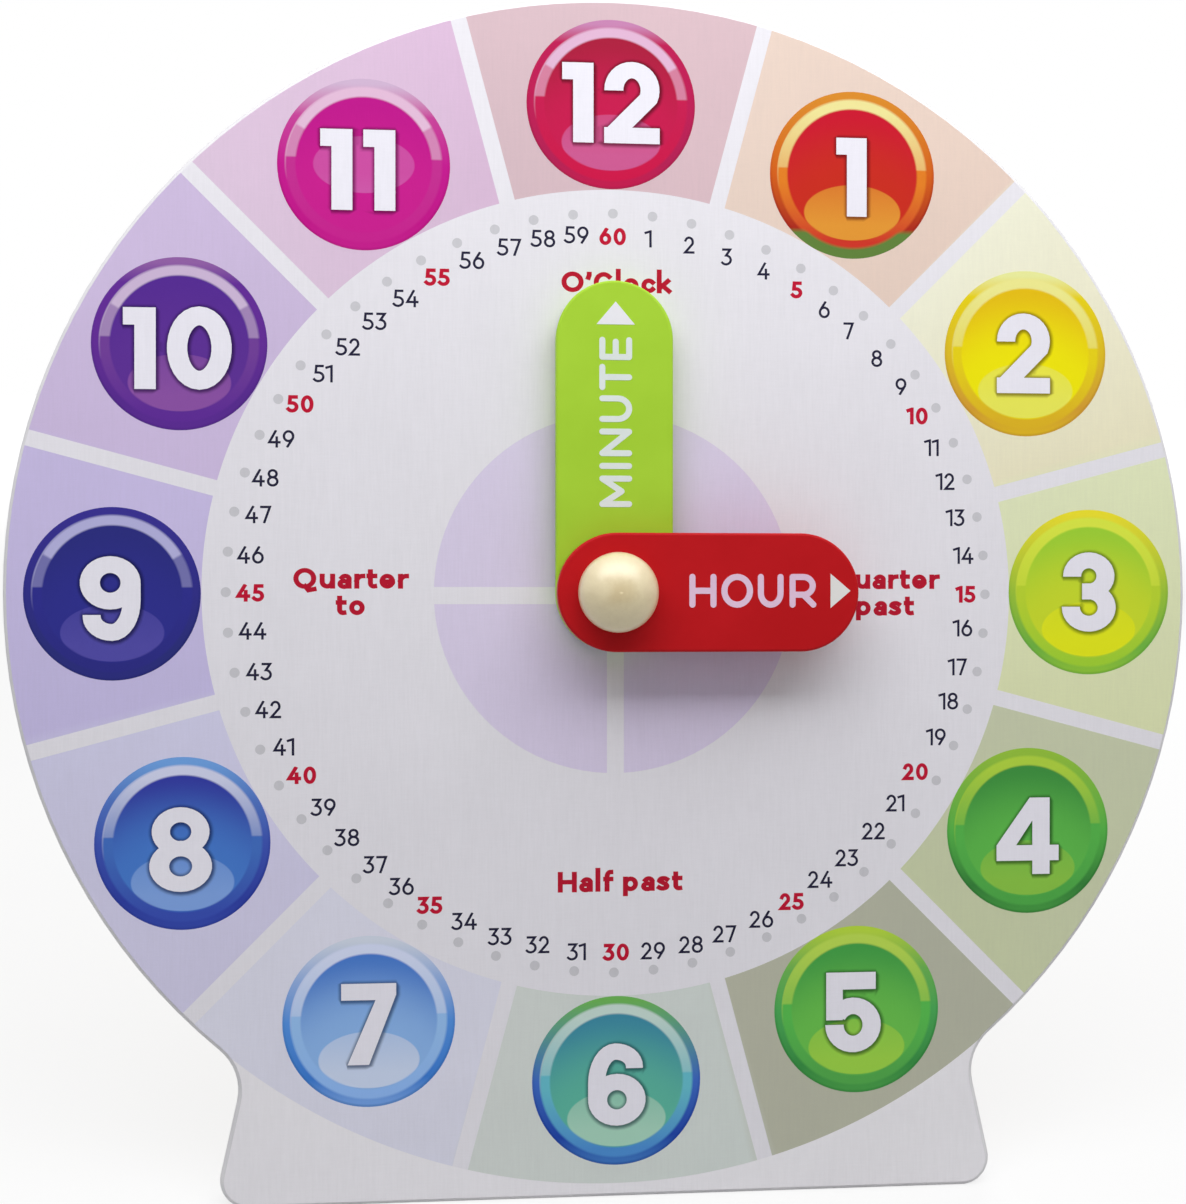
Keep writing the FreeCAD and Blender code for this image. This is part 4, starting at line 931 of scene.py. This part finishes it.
def phrases():
    """All the words of the dial, in their places."""
    drawn = []
    for text, x, z, gap in PHRASES:
        lines, length = set_line(text, letter_lines, gap, 1.9)
        drawn += moved(lines, x - length / 2, z)
    return drawn


def make_dial():
    """The printed sheet as flush pieces, one for each kind of print."""
    edge, hole = node_loops("dial_print")[:2]
    numerals = {
        hour: moved(hour_numeral(hour), *np.add(disc_middle(hour), HOUR_NUDGES[hour]).tolist()) for hour in HOURS
    }
    layers = [
        ("foot", [edge]),
        ("white", [circle(0, 0, SECTOR_OUTER, 240)]),
        ("sectors", [sector(hour) for hour in HOURS]),
        ("centre", [quadrant(left, low) for left in (True, False) for low in (True, False)]),
        ("dots", [circle(*dot_middle(m), DOT_RADIUS, 20) for m in MINUTES]),
        ("minutes", [line for m in MINUTES if m % 5 for line in minute_numeral(m)]),
        ("fives", [line for m in MINUTES if m % 5 == 0 for line in minute_numeral(m)]),
        ("words", phrases()),
    ]
    layers += [(("disc", h), [circle(*disc_middle(h), DISC_RADIUS)]) for h in HOURS]
    layers += [(("numeral", h), numerals[h]) for h in HOURS]
    layers.append(("hole", [hole]))
    loose = [p for h in HOURS for p in glow_points(numerals[h])]
    points, pieces = cut_up(layers, "foot", loose)

    def piece(name, owners, materials, origin=(0.0, 0.0)):
        made, flat = slab(name, points, [pieces[o] for o in owners], PRINT_FRONT, 0.0, DIAL, origin)
        for material in materials:
            made.data.materials.append(material)
        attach(made, "board")
        return made, flat

    white = printed("print_white", PRINT_WHITE)
    face, _ = piece("dial_face", ("foot", "white", "sectors"),
                    (printed("print_foot", FOOT_WHITE), white, sector_material()))
    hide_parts("dial_print")
    piece("centre_disc", ("centre",), (printed("print_lilac", CENTRE_LILAC),))
    piece("minute_dots", ("dots",), (printed("print_grey", DOT_GREY),))
    piece("minute_numerals", ("minutes",), (printed("print_navy", NAVY),))
    piece("five_minute_numerals", ("fives",), (printed("print_crimson", CRIMSON),))
    piece("time_words", ("words",), (printed("print_red", WORD_RED),))
    numeral_white = printed("print_numeral_white", NUMERAL_WHITE)
    for hour in HOURS:
        middle = disc_middle(hour)
        disc, flat = piece(f"number_disc_{hour}", (("disc", hour),), (disc_material(hour),), middle)
        spots = np.array(flat) + middle - GLOW_SHIFT
        gaps = np.where(inside(spots, numerals[hour]), 0.0, edge_distance(spots, numerals[hour])).tolist()
        values = disc.data.attributes.new("numeral_gap", "FLOAT", "POINT")
        values.data.foreach_set("value", gaps + gaps)
        piece(f"hour_numeral_{hour}", (("numeral", hour),), (numeral_white,), middle)


# ---- Lettering on the hands --------------------------------------------------------------------------------
def spaced(text, style, widths, gaps):
    """A word of round-ended letters from x = 0."""
    drawn, x = [], 0.0
    for char, width, gap in zip(text, widths, (*gaps, 0.0)):
        drawn += moved(glyph_lines(char, style, "round", width)[0], x, -style["height"] / 2)
        x += width + gap
    return drawn


def hand_piece(name, polygons, front, body, material):
    """Thin paint on a hand's face."""
    points, pieces = cut_up([(name, polygons)], name)
    made, _ = slab(name, points, [pieces[name]], front - LETTER_RISE, front + LETTER_RISE, DIAL)
    made.data.materials.append(material)
    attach(made, body)


def make_hand_lettering():
    """HOUR and MINUTE with an arrow head each, in pale paint."""
    word = moved(spaced("HOUR", ON_HOUR, (6.7, 7.85, 6.4, 6.7), (1.2, 1.2, 1.5)), 17.7, 0.4)
    arrow = [[(52.8, -3.85), (57.8, 0.4), (52.8, 4.65)]]
    hour_paint = paint("hour_lettering", "EECFE7", "E8C8E2", 0.45)
    hand_piece("hour_lettering", word, HOUR_FRONT, "hour_train", hour_paint)
    hand_piece("hour_arrow", arrow, HOUR_FRONT, "hour_train", paint("hour_arrow", "EFEDEB", "E8E6E4", 0.45))
    widths, gaps = (7.8, 1.5, 6.85, 6.6, 6.5, 5.7), (1.64, 1.67, 1.63, 1.29, 1.0)
    word = turned(moved(spaced("MINUTE", ON_MINUTE, widths, gaps), 21.2, -0.2))
    arrow = [[(-4.6, 66.5), (5.0, 66.5), (0.2, 72.2)]]
    minute_paint = paint("minute_lettering", "E8F1EE", "E1EAE7", 0.45)
    hand_piece("minute_lettering", word, MINUTE_FRONT, "minute_train", minute_paint)
    hand_piece("minute_arrow", arrow, MINUTE_FRONT, "minute_train", paint("minute_arrow", "F2F2F7", "ECECF2", 0.45))


# ---- Finishes of the CAD nodes -----------------------------------------------------------------------------
def dress_nodes():
    """A material for every CAD node, the hidden ones too."""
    brass = metal("brass", "C9A24E", 0.32, (0.06, 1.0, 1.0))
    screw_brass = metal("screw_brass", "C49A46", 0.34)
    steel = metal("drawn_steel", "B4B5B8", 0.28, (1.0, 0.05, 1.0))
    zinc = metal("zinc_plate", "BFC0C4", 0.30)
    acetal = plastic("natural_acetal", "EDEBE2", 0.34, 0.00002)
    nylon = plastic("natural_nylon", "E8E6DC", 0.50, 0.00002)
    casing = plastic("case_plastic", "D6D6D3", 0.55, 0.00005)
    leg_wood = wood("leg_wood", "E0BE8C", "C0945C", (1.0, 1.0, 0.06), 0.42)
    # The knob's last colour, DCC899, is painted shade in the middle of its dome
    knob_wood = wood("knob_wood", "F3E4BA", "E7D6AB", (1.0, 0.12, 1.0), 0.42, 0.00002, 0.8, 1.0, "DCC899",
                     contrast=0.3, speckle=0.06)
    finishes = {
        "clock_board": board_finish(), "dial_print": printed("print_sheet", PRINT_WHITE), "centre_bush": brass,
        "minute_hand": paint("green_paint", "AEDB3E", "A8D539"), "minute_washer": nylon, "minute_arbor": acetal,
        "hour_hand": paint("red_paint", "C61A21", "BE171D"), "hour_washer": nylon, "hour_shaft": steel,
        "hour_wheel": acetal, "centre_knob": knob_wood, "shaft_cap": nylon, "drag_washer": felt("grey_felt", "55565A"),
        "transfer_gear": acetal, "transfer_pin": steel, "gear_plate": casing, "gear_case": casing,
        "case_screws": zinc, "hinge_leaf_fixed": brass, "hinge_leaf_moving": brass, "hinge_pin": brass,
        "hinge_screws_fixed": screw_brass, "hinge_screws_moving": screw_brass, "stand_leg": leg_wood,
    }
    for node, material in finishes.items():
        dress(node, material)


# ---- Floor, light and camera -------------------------------------------------------------------------------
FLOOR_HALF = 6.0
AMBIENT = 0.26
# Lamps: power in watts, place and the point that it faces in the dial's frame in metres, size in metres
LAMPS = {
    "key": (3.7, (0.02, -0.42, 0.48), (0.02, 0.0, 0.48), (1.20, 0.24)),
    "top": (2.4, (0.02, -0.25, 0.55), (0.02, 0.0, 0.0), (1.00, 0.25)),
    "back": (3.5, (0.25, 0.70, 0.45), (0.0, 0.0, 0.0), (0.7, 0.5)),
}
CAMERA_PLACE = (-0.0320, -0.3489, -0.0016)
CAMERA_WAY = (0.0773, 0.9970, -0.0022)
CAMERA_LENS = 41.43
CAMERA_SENSOR = 36.0


def make_floor():
    """A plain white floor that shows near white to the camera and keeps the clock's shadow."""
    mesh = bpy.data.meshes.new("floor")
    corners = [(-FLOOR_HALF, -FLOOR_HALF, 0), (FLOOR_HALF, -FLOOR_HALF, 0), (FLOOR_HALF, FLOOR_HALF, 0),
               (-FLOOR_HALF, FLOOR_HALF, 0)]
    mesh.from_pydata(corners, [], [(0, 1, 2, 3)])
    floor = bpy.data.objects.new("floor", mesh)
    bpy.context.scene.collection.objects.link(floor)
    finish = Finish("floor")
    where = finish.coordinates()
    cloud = finish.noise(3.0, where, 3.0)
    finish.set(base_color=finish.mix(cloud, rgb("CECECE"), rgb("D4D4D4")), roughness=0.9)
    glow = finish.node("ShaderNodeEmission", {"Color": (1, 1, 1, 1), "Strength": 1.1})
    away = finish.node("ShaderNodeVectorMath", {0: where}, operation="LENGTH").outputs["Value"]
    share = finish.spread(away, 0.4, 2.5, 0.72, 1.0, smooth=True)
    rays = finish.node("ShaderNodeLightPath", {})
    seen = finish.math("ADD", rays.outputs["Is Camera Ray"], rays.outputs["Is Transmission Ray"], True)
    both = finish.node("ShaderNodeMixShader", {0: finish.math("MULTIPLY", seen, share)})
    finish.links.new(finish.surface.outputs[0], both.inputs[1])
    finish.links.new(glow.outputs[0], both.inputs[2])
    finish.links.new(both.outputs[0], finish.nodes["Material Output"].inputs["Surface"])
    mesh.materials.append(finish.material)


def make_world():
    """Soft even light, and white where the camera or a reflection sees past the clock."""
    world = bpy.data.worlds.new("studio")
    world.use_nodes = True
    bpy.context.scene.world = world
    nodes, links = world.node_tree.nodes, world.node_tree.links
    light = nodes["Background"]
    light.inputs["Color"].default_value = (1.0, 1.0, 1.0, 1.0)
    light.inputs["Strength"].default_value = AMBIENT
    white = nodes.new("ShaderNodeBackground")
    white.inputs["Color"].default_value = (1.0, 1.0, 1.0, 1.0)
    rays = nodes.new("ShaderNodeLightPath")
    seen = rays.outputs["Is Camera Ray"]
    for kind in ("Is Glossy Ray", "Is Transmission Ray"):
        add = nodes.new("ShaderNodeMath")
        add.operation = "ADD"
        add.use_clamp = True
        links.new(seen, add.inputs[0])
        links.new(rays.outputs[kind], add.inputs[1])
        seen = add.outputs[0]
    both = nodes.new("ShaderNodeMixShader")
    links.new(seen, both.inputs[0])
    links.new(light.outputs[0], both.inputs[1])
    links.new(white.outputs[0], both.inputs[2])
    links.new(both.outputs[0], nodes["World Output"].inputs["Surface"])


def make_lamp(name, power, place, aim, size):
    """A soft rectangular lamp."""
    lamp = bpy.data.lights.new(name, "AREA")
    lamp.shape = "RECTANGLE"
    lamp.size, lamp.size_y = size
    lamp.energy = power
    holder = bpy.data.objects.new(name, lamp)
    bpy.context.scene.collection.objects.link(holder)
    where = DIAL @ Vector(place)
    facing = (DIAL @ Vector(aim) - where).to_track_quat("-Z", "Y")
    holder.matrix_world = Matrix.Translation(where) @ facing.to_matrix().to_4x4()


def make_camera():
    """The camera stands in front of the dial, a little to the left, and looks almost straight at it."""
    data = bpy.data.cameras.new("camera")
    data.sensor_width = CAMERA_SENSOR
    data.lens = CAMERA_LENS
    data.clip_start = 0.01
    camera = bpy.data.objects.new("camera", data)
    bpy.context.scene.collection.objects.link(camera)
    turn = DIAL.to_3x3()
    way = (turn @ Vector(CAMERA_WAY)).normalized()
    side = way.cross(UP).normalized()
    basis = Matrix((side, side.cross(way), -way)).transposed().to_4x4()
    basis.translation = DIAL @ Vector(CAMERA_PLACE)
    camera.matrix_world = basis
    bpy.context.scene.camera = camera


make_dial()
make_hand_lettering()
dress_nodes()
make_floor()
make_world()
for name, values in LAMPS.items():
    make_lamp(name, *values)
make_camera()
bpy.context.scene.view_settings.view_transform = "Standard"
